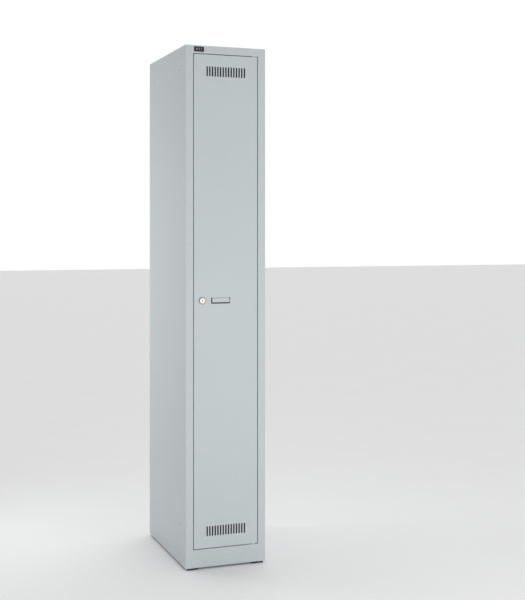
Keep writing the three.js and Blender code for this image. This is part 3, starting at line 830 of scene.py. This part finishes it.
class LOCKER_OT_frame_rails(bpy.types.Operator):
    """Fold the header, the plinth with its foot flange and the rear base channel"""

    bl_idname = "locker.frame_rails"
    bl_label = "Frame Rails"

    def execute(self, context):
        sheet, casing, door = settings().sheet, settings().casing, settings().door
        open_top = DOOR_TOP + door.gap
        open_bottom = DOOR_BOTTOM - door.gap
        header = [
            (FRONT + casing.header_flange, TOP),
            (FRONT, TOP),
            (FRONT, open_top),
            (stop_y(), open_top),
            (stop_y(), open_top - stop_lip()),
        ]
        over = sheet.thickness + sheet.seam
        frame_rail("header_sheet", header, open_top - stop_lip() - sheet.seam, open_top + over, "header_rail")
        plinth = [
            (stop_y(), open_bottom + stop_lip()),
            (stop_y(), open_bottom),
            (FRONT, open_bottom),
            (FRONT, BASE),
            (FRONT + casing.base_flange, BASE),
        ]
        lip_top = open_bottom + stop_lip() + sheet.seam
        frame_rail("plinth_sheet", plinth, open_bottom - over, lip_top, "plinth_rail")
        for hand in (-1, 1):
            bm = bmesh.new()
            inner = hand * open_half()
            outer = hand * INSIDE
            corner = (min(inner, outer), FRONT + over, BASE)
            opposite = (max(inner, outer), FRONT + casing.base_flange, BASE + sheet.thickness)
            box(bm, corner, opposite)
            side = "left" if hand < 0 else "right"
            fit(make(f"{side}_foot_flange", bm), "casing", paint)
        channel = [
            (low("rear_base_channel").y, BASE),
            (high("rear_base_channel").y, BASE),
            (high("rear_base_channel").y, high("rear_base_channel").z),
        ]
        bm = folded(channel, "x", -INSIDE, INSIDE)
        piece = make("rear_channel_sheet", bm, sheet.thickness)
        fit(piece, "casing", paint, "rear_base_channel")
        return {"FINISHED"}


def pan(name, node, cutter=None):
    """Top or floor pan with its side edges folded down."""
    sheet, casing = settings().sheet, settings().casing
    level = high(node).z
    corners = [
        (INSIDE, level - casing.pan_flange),
        (INSIDE, level),
        (-INSIDE, level),
        (-INSIDE, level - casing.pan_flange),
    ]
    bm = folded(corners, "y", low(node).y, high(node).y)
    piece = make(name, bm, sheet.thickness, cutter)
    return fit(piece, "casing", paint, node)


class LOCKER_OT_panels(bpy.types.Operator):
    """Fold the top, floor and back panels"""

    bl_idname = "locker.panels"
    bl_label = "Top, Floor and Back"

    def execute(self, context):
        sheet = settings().sheet
        pan("top_sheet", "top_panel")
        notch = bmesh.new()
        floor_level = high("floor_panel").z
        corner = (-STOP_TIP - sheet.seam, FRONT, floor_level - 0.03)
        opposite = (SIDE, hinge_stop_y() + sheet.thickness + sheet.seam, floor_level + 0.01)
        box(notch, corner, opposite)
        pan("floor_sheet", "floor_panel", notch)
        bm = bmesh.new()
        box(bm, low("back_panel"), high("back_panel"))
        fit(make("back_sheet", bm), "casing", paint, "back_panel")
        return {"FINISHED"}


class LOCKER_OT_shelf(bpy.types.Operator):
    """Fold the hat shelf and the two angles that carry it"""

    bl_idname = "locker.shelf"
    bl_label = "Hat Shelf"

    def execute(self, context):
        sheet, fitting = settings().sheet, settings().fitting
        start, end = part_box("hat_shelf")
        corners = [
            (end.y, end.z - fitting.shelf_rear),
            (end.y, end.z),
            (start.y, end.z),
            (start.y, end.z - fitting.shelf_front),
            (start.y + fitting.shelf_hem, end.z - fitting.shelf_front),
        ]
        piece = make("shelf_sheet", folded(corners, "x", start.x, end.x), sheet.thickness)
        fit(piece, "casing", paint, "hat_shelf")
        for hand in ("left", "right"):
            node = f"{hand}_shelf_angle"
            start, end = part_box("left_shelf_angle")
            corners = [(end.x, end.z), (start.x, end.z), (start.x, start.z)]
            bm = folded(corners, "y", start.y, end.y)
            on_side(hand, bm)
            piece = make(f"{hand}_angle_sheet", bm, sheet.thickness)
            fit(piece, "casing", paint, node)
        return {"FINISHED"}


def rivet(name, centre, hand):
    """Domed rivet head on a side wall."""
    radius = settings().fitting.rivet
    rise = radius * 0.45
    profile = [(radius * out, rise * up) for out, up in QUARTER]
    profile[-1] = (0.0, rise)
    bm = spun([(0.0, 0.0), *profile], "x", Vector((0, 0, 0)), 24)
    on_side(hand, bm)
    bmesh.ops.translate(bm, verts=bm.verts, vec=centre)
    return fit(make(name, bm, rounding=0), "casing", zinc)


class LOCKER_OT_hanging(bpy.types.Operator):
    """Make the clothes rail, its sockets and the coat hooks"""

    bl_idname = "locker.hanging"
    bl_label = "Rail and Hooks"

    def execute(self, context):
        fitting = settings().fitting
        start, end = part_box("clothes_rail")
        centre = middle("clothes_rail")
        radius = (end.z - start.z) / 2
        tube = [
            (radius - fitting.rail_wall, start.x),
            (radius, start.x),
            (radius, end.x),
            (radius - fitting.rail_wall, end.x),
        ]
        bm = spun(tube, "x", Vector((0, centre.y, centre.z)))
        fit(make("rail_tube", bm), "casing", zinc, "clothes_rail")

        plate = fitting.socket_plate
        bore = radius + settings().sheet.seam
        collar = bore + fitting.socket_wall
        start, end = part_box("left_rail_socket")
        flange = (end.z - start.z) / 2
        cup = [(0, 0), (flange, 0), (flange, plate), (collar, plate), (collar, end.x - start.x)]
        cup += [(bore, end.x - start.x), (bore, plate), (0, plate)]
        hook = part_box("left_coat_hook")
        corners = [
            (hook[0].x, hook[1].z),
            (hook[0].x, hook[0].z),
            (hook[1].x, hook[0].z),
            (hook[1].x, hook[0].z + fitting.hook_tip),
        ]
        for hand in ("left", "right"):
            side = -1 if hand == "left" else 1
            bm = spun(cup, "x", Vector((start.x, centre.y, centre.z)))
            on_side(hand, bm)
            piece = make(f"{hand}_rail_cup", bm, rounding=0.0004)
            fit(piece, "casing", zinc, f"{hand}_rail_socket")
            for turn in (-1, 1):
                spot = Vector((side * (INSIDE - plate), centre.y + turn * (flange + collar) / 2, centre.z))
                rivet(f"{hand}_socket_rivet_{'rear' if turn > 0 else 'front'}", spot, hand)
            bm = folded(corners, "y", hook[0].y, hook[1].y, fitting.hook_sheet, fitting.hook_bend)
            ends = [vert for vert in bm.verts if len(vert.link_edges) == 2]
            bmesh.ops.bevel(
                bm, geom=ends, offset=fitting.hook_corner, offset_type="OFFSET", segments=6,
                profile=0.5, affect="VERTICES", clamp_overlap=False, material=-1,
            )
            on_side(hand, bm)
            piece = make(f"{hand}_hook_strip", bm, fitting.hook_sheet, rounding=0.0004)
            fit(piece, "casing", zinc, f"{hand}_coat_hook")
            for rise in (0.30, 0.72):
                height = hook[0].z + (hook[1].z - hook[0].z) * rise
                spot = Vector((side * (INSIDE - fitting.hook_sheet), middle("left_coat_hook").y, height))
                rivet(f"{hand}_hook_rivet_{'upper' if rise > 0.5 else 'lower'}", spot, hand)
        return {"FINISHED"}


def cross_recess(cutter, centre, size, depth):
    """Adds the crossed slots of a screw's recess, along Z."""
    for turned in (False, True):
        long, short = size, size * 0.28
        half = Vector((short if turned else long, long if turned else short, 2 * depth)) / 2
        box(cutter, centre - half, centre + half)


class LOCKER_OT_feet(bpy.types.Operator):
    """Make the four pad feet and their screws"""

    bl_idname = "locker.feet"
    bl_label = "Feet"

    def execute(self, context):
        fitting = settings().fitting
        for name in ("front_left", "front_right", "rear_left", "rear_right"):
            start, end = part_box(f"{name}_foot")
            bm = bmesh.new()
            verts = box(bm, start, end)
            round_edges(bm, edges_along(verts, "z"), fitting.foot_round)
            cutter = bmesh.new()
            centre = middle(f"{name}_foot_screw")
            drum(cutter, Vector((centre.x, centre.y, end.z)), "z", fitting.foot_bore, 0.009, 24)
            piece = make(f"{name}_pad", bm, cutter=cutter, rounding=0.0006)
            fit(piece, "casing", black_plastic, f"{name}_foot")

            start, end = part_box(f"{name}_foot_screw")
            head, shank = (end.x - start.x) / 2, fitting.screw_shank
            under = BASE + settings().sheet.thickness + settings().sheet.seam
            rise = end.z - under
            dome = [(head * out, under + rise * (0.35 + 0.65 * up)) for out, up in QUARTER[:6]]
            profile = [(0, start.z), (shank, start.z), (shank, under), (head, under), *dome, (0, end.z)]
            bm = spun(profile, "z", Vector((centre.x, centre.y, 0)), 32)
            cutter = bmesh.new()
            cross_recess(cutter, Vector((centre.x, centre.y, end.z)), head * 1.1, 0.0012)
            piece = make(f"{name}_screw", bm, cutter=cutter, rounding=0.0001)
            fit(piece, "casing", zinc, f"{name}_foot_screw")
        return {"FINISHED"}


class LOCKER_OT_buffers(bpy.types.Operator):
    """Make the rubber door buffers"""

    bl_idname = "locker.buffers"
    bl_label = "Door Buffers"

    def execute(self, context):
        for name in ("upper", "lower"):
            start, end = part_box(f"{name}_door_buffer")
            centre = middle(f"{name}_door_buffer")
            radius, thick = (end.x - start.x) / 2, end.y - start.y
            curve = [
                (radius - thick * 0.6 * (1 - out), thick * (1 - 0.6 * down)) for out, down in QUARTER
            ]
            crown = [(0.0, 0.0)] + [(part[0] * 0.999, part[1] - thick * 0.4) for part in reversed(curve)]
            profile = [*crown, (radius, thick), (0.0, thick)]
            bm = spun(profile, "y", Vector((centre.x, start.y, centre.z)), 32)
            piece = make(f"{name}_buffer_pad", bm, rounding=0)
            fit(piece, "casing", rubber, f"{name}_door_buffer")
        return {"FINISHED"}


class LOCKER_OT_name_plate(bpy.types.Operator):
    """Make the black plate with a locker number"""

    bl_idname = "locker.name_plate"
    bl_label = "Number Plate"

    def execute(self, context):
        start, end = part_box("name_plate")
        bm = bmesh.new()
        verts = box(bm, start, end)
        round_edges(bm, edges_along(verts, "y"), 0.0012)
        piece = make("number_plate", bm, rounding=0.0003)
        fit(piece, "casing", plate_black, "name_plate")

        text = bpy.data.curves.new("number_text", "FONT")
        text.body = settings().studio.number
        text.align_x = "CENTER"
        text.align_y = "CENTER"
        text.size = (end.z - start.z) * 0.62
        text.extrude = 0.0001
        label = bpy.data.objects.new("number_text", text)
        bpy.context.scene.collection.objects.link(label)
        graph = bpy.context.evaluated_depsgraph_get()
        mesh = bpy.data.meshes.new_from_object(label.evaluated_get(graph))
        bpy.data.objects.remove(label)
        centre = (start + end) / 2
        face = Vector((centre.x, start.y - 0.0001, centre.z))
        mesh.transform(Matrix.Translation(face) @ Matrix.Rotation(math.pi / 2, 4, "X"))
        figures = bpy.data.objects.new("number_figures", mesh)
        bpy.context.scene.collection.objects.link(figures)
        fit(figures, "casing", plate_figures)
        return {"FINISHED"}


# ---- Door ---------------------------------------------------------------------------------


class LOCKER_OT_pivots(bpy.types.Operator):
    """Make the pivot pins, their bushes and the hinge plates"""

    bl_idname = "locker.pivots"
    bl_label = "Pivots"

    def execute(self, context):
        sheet, pivot = settings().sheet, settings().pivot
        for name in ("lower", "upper"):
            up = 1 if name == "lower" else -1

            def far(box_low, box_high):
                return (box_low, box_high) if up > 0 else (box_high, box_low)

            start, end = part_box(f"{name}_pivot_pin")
            foot, tip = far(start.z, end.z)
            head, shank = (end.x - start.x) / 2, pivot.pin_shank
            cap = foot + up * pivot.pin_head
            profile = [(0, foot), (head, foot), (head, cap), (shank, cap), (shank, tip), (0, tip)]
            bm = spun(profile, "z", Vector((PIVOT.x, PIVOT.y, 0)))
            piece = make(f"{name}_pin", bm, rounding=0.0004)
            fit(piece, "casing", zinc, f"{name}_pivot_pin")

            start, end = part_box(f"{name}_pivot_bush")
            foot, tip = far(start.z, end.z)
            collar, body = (end.x - start.x) / 2, pivot.bush_body
            step = foot + up * pivot.bush_collar
            bore = shank + pivot.pin_fit
            profile = [
                (bore, foot), (collar, foot), (collar, step),
                (body, step), (body, tip), (bore, tip),
            ]
            bm = spun(profile, "z", Vector((PIVOT.x, PIVOT.y, 0)))
            piece = make(f"{name}_bush", bm, rounding=0.0003)
            fit(piece, "door", nylon, f"{name}_pivot_bush")

            start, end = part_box(f"{name}_hinge_plate")
            foot, tip = far(start.z, end.z)
            thick = pivot.plate
            corners = [(start.y, tip), (start.y, foot), (end.y, foot)]
            if up < 0:
                corners.reverse()
            bm = folded(corners, "x", start.x, end.x, thick, sheet.bend + sheet.thickness)
            cutter = bmesh.new()
            drum(cutter, Vector((PIVOT.x, PIVOT.y, foot)), "z", body + pivot.pin_fit, 0.01)
            piece = make(f"{name}_plate", bm, thick, cutter)
            fit(piece, "door", paint, f"{name}_hinge_plate")
        return {"FINISHED"}


def cut_out():
    """Left, right, bottom and top of the pull's cut-out."""
    door = settings().door
    centre = middle("pull_cup")
    return (
        centre.x - door.pull_width / 2, centre.x + door.pull_width / 2,
        centre.z - door.pull_height / 2, centre.z + door.pull_height / 2,
    )


class LOCKER_OT_door_sheet(bpy.types.Operator):
    """Fold the door pan and cut its vents, lock hole and pull"""

    bl_idname = "locker.door_sheet"
    bl_label = "Door Sheet"

    def execute(self, context):
        sheet, door = settings().sheet, settings().door
        bm = bmesh.new()
        box(bm, (DOOR_LEFT, FRONT, DOOR_BOTTOM), (DOOR_RIGHT, DOOR_REAR, DOOR_TOP))
        rear = [
            face for face in bm.faces
            if face.normal.y > 0.9 or face.calc_center_median().y > DOOR_REAR - SAME
        ]
        bmesh.ops.delete(bm, geom=rear, context="FACES_ONLY")
        for x, inward in ((DOOR_LEFT, door.lip), (DOOR_RIGHT, -door.lip)):
            sides = [
                edge for edge in bm.edges
                if all(abs(vert.co.x - x) < SAME and vert.co.y > DOOR_REAR - SAME for vert in edge.verts)
            ]
            grown = bmesh.ops.extrude_edge_only(bm, edges=sides)["geom"]
            moved = [item for item in grown if isinstance(item, bmesh.types.BMVert)]
            bmesh.ops.translate(bm, verts=moved, vec=(inward, 0, 0))
        folds = [
            edge for edge in bm.edges
            if len(edge.link_faces) == 2
            and not all(abs(face.normal.z) > 0.9 or abs(face.normal.x) > 0.9 for face in edge.link_faces)
        ]
        bmesh.ops.recalc_face_normals(bm, faces=bm.faces)
        round_edges(bm, folds, sheet.bend, sheet.fold_steps)

        cutter = bmesh.new()
        through = 4 * sheet.thickness
        for row in (DOOR_BOTTOM + door.vent_inset, DOOR_TOP - door.vent_inset):
            for place in range(door.vent_count):
                x = (place - (door.vent_count - 1) / 2) * door.vent_pitch
                slot(cutter, Vector((x, FRONT, row)), door.vent_width, door.vent_height, through)
        drum(cutter, Vector((LOCK_X, FRONT, LOCK_Z)), "y", settings().lock.barrel + sheet.seam, through)
        left, right, bottom, top = cut_out()
        box(cutter, (left, FRONT - through / 2, bottom), (right, FRONT + through / 2, top))
        for end in (DOOR_BOTTOM, DOOR_TOP):
            drum(cutter, Vector((PIVOT.x, PIVOT.y, end)), "z", 0.0048, through)
        piece = make("door_pan", bm, sheet.thickness, cutter)
        fit(piece, "door", paint, "door_skin")
        return {"FINISHED"}


class LOCKER_OT_pull(bpy.types.Operator):
    """Fold the pull flap and mould the cup behind it"""

    bl_idname = "locker.pull"
    bl_label = "Pull"

    def execute(self, context):
        sheet, door = settings().sheet, settings().door
        left, right, bottom, top = cut_out()
        proud = low("door_skin").y
        lower = bottom + door.pull_below
        corners = [
            (FRONT, top),
            (FRONT + 1e-5, top - 0.0006),
            (proud, top - door.pull_slope),
            (proud, lower),
            (proud + door.pull_hem, lower),
        ]
        bm = folded(corners, "x", left + door.pull_side, right - door.pull_side)
        fit(make("pull_flap", bm, sheet.thickness), "door", paint)

        start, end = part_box("pull_cup")
        margin = door.cup_margin + sheet.thickness
        bm = bmesh.new()
        box(bm, (left - margin, start.y, bottom - margin), (right + margin, end.y, top + margin))
        mouth = [face for face in bm.faces if face.calc_center_median().y < start.y + SAME]
        bmesh.ops.delete(bm, geom=mouth, context="FACES_ONLY")
        walls = edges_along(bm.verts, "y")
        floor_edges = [edge for edge in bm.edges if all(vert.co.y > end.y - SAME for vert in edge.verts)]
        round_edges(bm, walls + floor_edges, door.cup_round)
        rim = [edge for edge in bm.edges if edge.is_boundary]
        grown = bmesh.ops.extrude_edge_only(bm, edges=rim)["geom"]
        moved = [item for item in grown if isinstance(item, bmesh.types.BMVert)]
        centre = (start + end) / 2
        reach = (end - start) / 2
        grow = Vector((
            reach.x / (reach.x - door.cup_flange), 1.0, reach.z / (reach.z - door.cup_flange),
        ))
        bmesh.ops.scale(bm, verts=moved, vec=grow, space=Matrix.Translation(-centre))
        bmesh.ops.recalc_face_normals(bm, faces=bm.faces)
        bottom_face = max(bm.faces, key=lambda face: face.calc_center_median().y)
        if bottom_face.normal.y < 0:
            bmesh.ops.reverse_faces(bm, faces=bm.faces)
        # The pressed cup is given black so the slots round the flap read dark: painted shade in the recess.
        fit(make("pull_cup_pressing", bm, sheet.thickness), "door", black_plastic, "pull_cup")
        return {"FINISHED"}


class LOCKER_OT_stiffener(bpy.types.Operator):
    """Fold the stiffener behind the door sheet"""

    bl_idname = "locker.stiffener"
    bl_label = "Door Stiffener"

    def execute(self, context):
        sheet = settings().sheet
        start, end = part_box("door_stiffener")
        brim = settings().door.stiffener_brim
        crown = end.y - sheet.thickness
        corners = [
            (start.x, start.y),
            (start.x + brim, start.y),
            (start.x + brim, crown),
            (end.x - brim, crown),
            (end.x - brim, start.y),
            (end.x, start.y),
        ]
        bm = folded(corners, "z", start.z, end.z)
        fit(make("stiffener_sheet", bm, sheet.thickness), "door", paint, "door_stiffener")
        return {"FINISHED"}


# ---- Lock ---------------------------------------------------------------------------------


class LOCKER_OT_cam_lock(bpy.types.Operator):
    """Make the lock housing, washer, nut, plug, cam and cam screw"""

    bl_idname = "locker.cam_lock"
    bl_label = "Cam Lock"

    def execute(self, context):
        lock, sheet = settings().lock, settings().sheet
        axle = Vector((LOCK_X, 0, LOCK_Z))

        start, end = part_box("lock_housing")
        rim = (end.x - start.x) / 2
        plug_low, plug_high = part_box("lock_plug")
        face = (plug_high.x - plug_low.x) / 2
        seat = start.y + 2 * lock.fit + lock.head
        profile = [
            (face + lock.fit, start.y),
            (rim - lock.rim_bevel, start.y),
            (rim, start.y + lock.rim_bevel),
            (rim, FRONT - sheet.seam),
            (lock.barrel, FRONT - sheet.seam),
            (lock.barrel, end.y),
            (lock.plug + lock.fit, end.y),
            (lock.plug + lock.fit, seat),
            (face + lock.fit, seat),
        ]
        piece = make("lock_barrel", spun(profile, "y", axle, 96), rounding=0.0003)
        # The bezel's dark brown colour is painted shade and painted reflection.
        fit(piece, "door", shaded_bezel_nickel, "lock_housing")

        start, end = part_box("lock_washer")
        outer = (end.x - start.x) / 2
        bore = lock.barrel + lock.fit
        ring = [(bore, start.y), (outer, start.y), (outer, end.y), (bore, end.y)]
        piece = make("lock_ring", spun(ring, "y", axle), rounding=0.0001)
        fit(piece, "door", zinc, "lock_washer")

        start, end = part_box("lock_nut")
        bm = bmesh.new()
        turn = Matrix.Rotation(-math.pi / 2, 4, "X")
        centre = (start + end) / 2
        corner = max(end.x - start.x, end.z - start.z) / 2
        bmesh.ops.create_cone(
            bm, cap_ends=True, segments=6, radius1=corner, radius2=corner,
            depth=end.y - start.y, matrix=Matrix.Translation(centre) @ turn,
        )
        cutter = bmesh.new()
        drum(cutter, centre, "y", bore, 0.02)
        piece = make("barrel_nut", bm, cutter=cutter, rounding=0.0004)
        fit(piece, "door", zinc, "lock_nut")

        start, end = plug_low, plug_high
        housing_rear = high("lock_housing").y
        profile = [
            (0, start.y),
            (face, start.y),
            (face, start.y + lock.head),
            (lock.plug, start.y + lock.head),
            (lock.plug, housing_rear + sheet.seam),
            (0, housing_rear + sheet.seam),
        ]
        bm = spun(profile, "y", axle, 96)
        cutter = bmesh.new()
        keyhole = Vector((LOCK_X, start.y, LOCK_Z))
        slot(cutter, keyhole, lock.keyhole_width, lock.keyhole_height, 2 * lock.keyhole_depth)
        piece = make("lock_core", bm, cutter=cutter, rounding=0.0002)
        fit(piece, "lock", plug_nickel, "lock_plug")
        # A near-black insert in the keyhole: greased steel, darkened further as painted shade of the slot's
        # depth.
        bm = bmesh.new()
        sunk = Vector((0, lock.keyway_sunk + lock.keyhole_depth / 2, 0))
        width, height = lock.keyhole_width - lock.fit / 4, lock.keyhole_height - lock.fit / 4
        slot(bm, keyhole + sunk, width, height, lock.keyhole_depth)
        cutter = bmesh.new()
        blade = Vector((lock.keyhole_width * 0.16, lock.keyhole_depth * 0.6, lock.keyhole_height * 0.36))
        box(cutter, keyhole + sunk - blade - sunk / 2, keyhole + sunk + blade - sunk / 2)
        fit(make("keyway", bm, cutter=cutter, rounding=0.0001), "lock", keyway_grease_and_shade)
        bm = bmesh.new()
        half = lock.tail / 2
        box(bm, (LOCK_X - half, housing_rear, LOCK_Z - half), (LOCK_X + half, end.y, LOCK_Z + half))
        fit(make("lock_tail", bm, rounding=0.0004), "lock", plug_nickel)

        start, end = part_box("lock_cam")
        bm = bmesh.new()
        hub = (end.x - start.x) / 2
        drum(bm, Vector((LOCK_X, (start.y + end.y) / 2, LOCK_Z)), "y", hub, end.y - start.y, 64)
        arm = bmesh.new()
        half = lock.cam_width / 2
        verts = box(arm, (LOCK_X - half, start.y, start.z), (LOCK_X + half, end.y, LOCK_Z))
        lower = [
            edge for edge in edges_along(verts, "y")
            if all(vert.co.z < start.z + SAME for vert in edge.verts)
        ]
        round_edges(arm, lower, half * 0.998, 12)
        piece = new_object("cam_plate", bm)
        other = new_object("cam_arm", arm)
        join = piece.modifiers.new("Join", "BOOLEAN")
        join.operation = "UNION"
        join.solver = "EXACT"
        join.object = other
        settle(piece)
        bpy.data.objects.remove(other)
        blank = bmesh.new()
        blank.from_mesh(piece.data)
        bpy.data.objects.remove(piece)
        cutter = bmesh.new()
        hole = lock.tail / 2 + sheet.seam
        corner = (LOCK_X - hole, start.y - 0.01, LOCK_Z - hole)
        box(cutter, corner, (LOCK_X + hole, end.y + 0.01, LOCK_Z + hole))
        piece = make("cam_plate", blank, cutter=cutter, rounding=0.0003)
        fit(piece, "lock", zinc, "lock_cam")

        start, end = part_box("cam_screw")
        head = (end.x - start.x) / 2
        under = high("lock_cam").y + sheet.seam
        profile = [
            (0, plug_high.y), (lock.screw_shank, plug_high.y), (lock.screw_shank, under),
            (head, under), (head, end.y - 0.0008), (head - 0.0008, end.y), (0, end.y),
        ]
        bm = spun(profile, "y", axle, 40)
        cutter = bmesh.new()
        for turned in (False, True):
            long, short = head * 1.1, head * 0.3
            half = Vector((short if turned else long, 0.0024, long if turned else short)) / 2
            centre = Vector((LOCK_X, end.y, LOCK_Z))
            box(cutter, centre - half, centre + half)
        piece = make("cam_screw_head", bm, cutter=cutter, rounding=0.0001)
        fit(piece, "lock", zinc, "cam_screw")
        return {"FINISHED"}


# ---- Studio -------------------------------------------------------------------------------


def soft_light(name, place, aim, size, power):
    """A soft rectangular light that points at a place."""
    lamp = bpy.data.lights.new(name, "AREA")
    lamp.shape = "RECTANGLE"
    lamp.size, lamp.size_y = size
    lamp.energy = power
    made = bpy.data.objects.new(name, lamp)
    made.location = place
    made.rotation_euler = (Vector(aim) - Vector(place)).to_track_quat("-Z", "Y").to_euler()
    made.visible_camera = False
    bpy.context.scene.collection.objects.link(made)
    return made


class LOCKER_OT_stage(bpy.types.Operator):
    """Set the floor, the light and the camera"""

    bl_idname = "locker.stage"
    bl_label = "Studio"

    def execute(self, context):
        studio = settings().studio
        scene = context.scene
        bm = bmesh.new()
        bmesh.ops.create_grid(bm, x_segments=1, y_segments=1, size=30.0)
        floor = new_object("studio_floor", bm)
        floor.data.materials.append(
            finish("studio_floor", settings().finish.floor, 0.8, grain=200.0, bump=0.05, drift=0.01),
        )

        world = bpy.data.worlds.new("Studio")
        world.use_nodes = True
        nodes, links = world.node_tree.nodes, world.node_tree.links
        way = nodes.new("ShaderNodeSeparateXYZ")
        links.new(nodes.new("ShaderNodeTexCoord").outputs["Generated"], way.inputs[0])
        around = spread(nodes, links, way.outputs["Y"], studio.sky_front, studio.sky_back, -0.1, 0.5)
        above = spread(nodes, links, way.outputs["Z"], 0.0, studio.sky_top, 0.1, 0.9)
        shade = spread(nodes, links, way.outputs["X"], studio.sky_left, 1.0, -0.6, 0.0)
        level = sums(nodes, links, "MULTIPLY", sums(nodes, links, "ADD", around, above), shade)
        links.new(level, nodes["Background"].inputs["Strength"])
        nodes["Background"].inputs["Color"].default_value = (1, 1, 1, 1)
        scene.world = world
        middle_height = (BASE + TOP) / 2
        soft_light("key", (0.5, FRONT - 2.6, 0.55), (0, FRONT, middle_height), (2.0, 2.0), studio.key)
        rear_corner = (-SIDE, BACK - 0.1, middle_height)
        soft_light("rear", (-1.0, BACK + 0.35, 1.05), rear_corner, (0.3, 1.0), studio.rear)

        camera = bpy.data.cameras.new("camera")
        camera.lens = studio.camera_lens
        camera.sensor_width = 36.0
        camera.shift_y = studio.camera_shift
        camera.clip_end = 100.0
        seen = bpy.data.objects.new("camera", camera)
        seen.location = (-studio.camera_left, FRONT - studio.camera_away, BASE + studio.camera_up)
        seen.rotation_euler = (math.pi / 2, 0.0, -studio.camera_turn)
        scene.collection.objects.link(seen)
        scene.camera = seen
        scene.view_settings.view_transform = "Standard"
        return {"FINISHED"}


# ---- Panel and registration ---------------------------------------------------------------

OPERATORS = (
    LOCKER_OT_stage,
    LOCKER_OT_side_panels,
    LOCKER_OT_frame_rails,
    LOCKER_OT_panels,
    LOCKER_OT_shelf,
    LOCKER_OT_hanging,
    LOCKER_OT_feet,
    LOCKER_OT_buffers,
    LOCKER_OT_name_plate,
    LOCKER_OT_pivots,
    LOCKER_OT_door_sheet,
    LOCKER_OT_pull,
    LOCKER_OT_stiffener,
    LOCKER_OT_cam_lock,
)


class LOCKER_PT_panel(bpy.types.Panel):
    """Lists the steps that build the locker"""

    bl_idname = "LOCKER_PT_panel"
    bl_label = "Clothes Locker"
    bl_space_type = "VIEW_3D"
    bl_region_type = "UI"
    bl_category = "Locker"

    def draw(self, context):
        for operator in OPERATORS:
            self.layout.operator(operator.bl_idname)
        for name in ("sheet", "casing", "door", "pivot", "lock", "fitting", "finish", "studio"):
            group = getattr(context.scene.locker, name)
            column = self.layout.column(heading=name.title())
            for key in group.bl_rna.properties.keys():
                if key not in ("rna_type", "name"):
                    column.prop(group, key)


CLASSES = (
    SheetSizes,
    CasingSizes,
    DoorSizes,
    PivotSizes,
    LockSizes,
    FittingSizes,
    FinishColours,
    StudioSettings,
    LockerSettings,
    *OPERATORS,
    LOCKER_PT_panel,
)


def register():
    """Registers the settings, the operators and the panel."""
    for item in CLASSES:
        bpy.utils.register_class(item)
    bpy.types.Scene.locker = PointerProperty(type=LockerSettings)


def unregister():
    """Takes everything out again."""
    del bpy.types.Scene.locker
    for item in reversed(CLASSES):
        bpy.utils.unregister_class(item)


def main():
    """Builds the locker."""
    register()
    for operator in OPERATORS:
        group, name = operator.bl_idname.split(".")
        getattr(getattr(bpy.ops, group), name)()


if __name__ == "__main__":
    main()
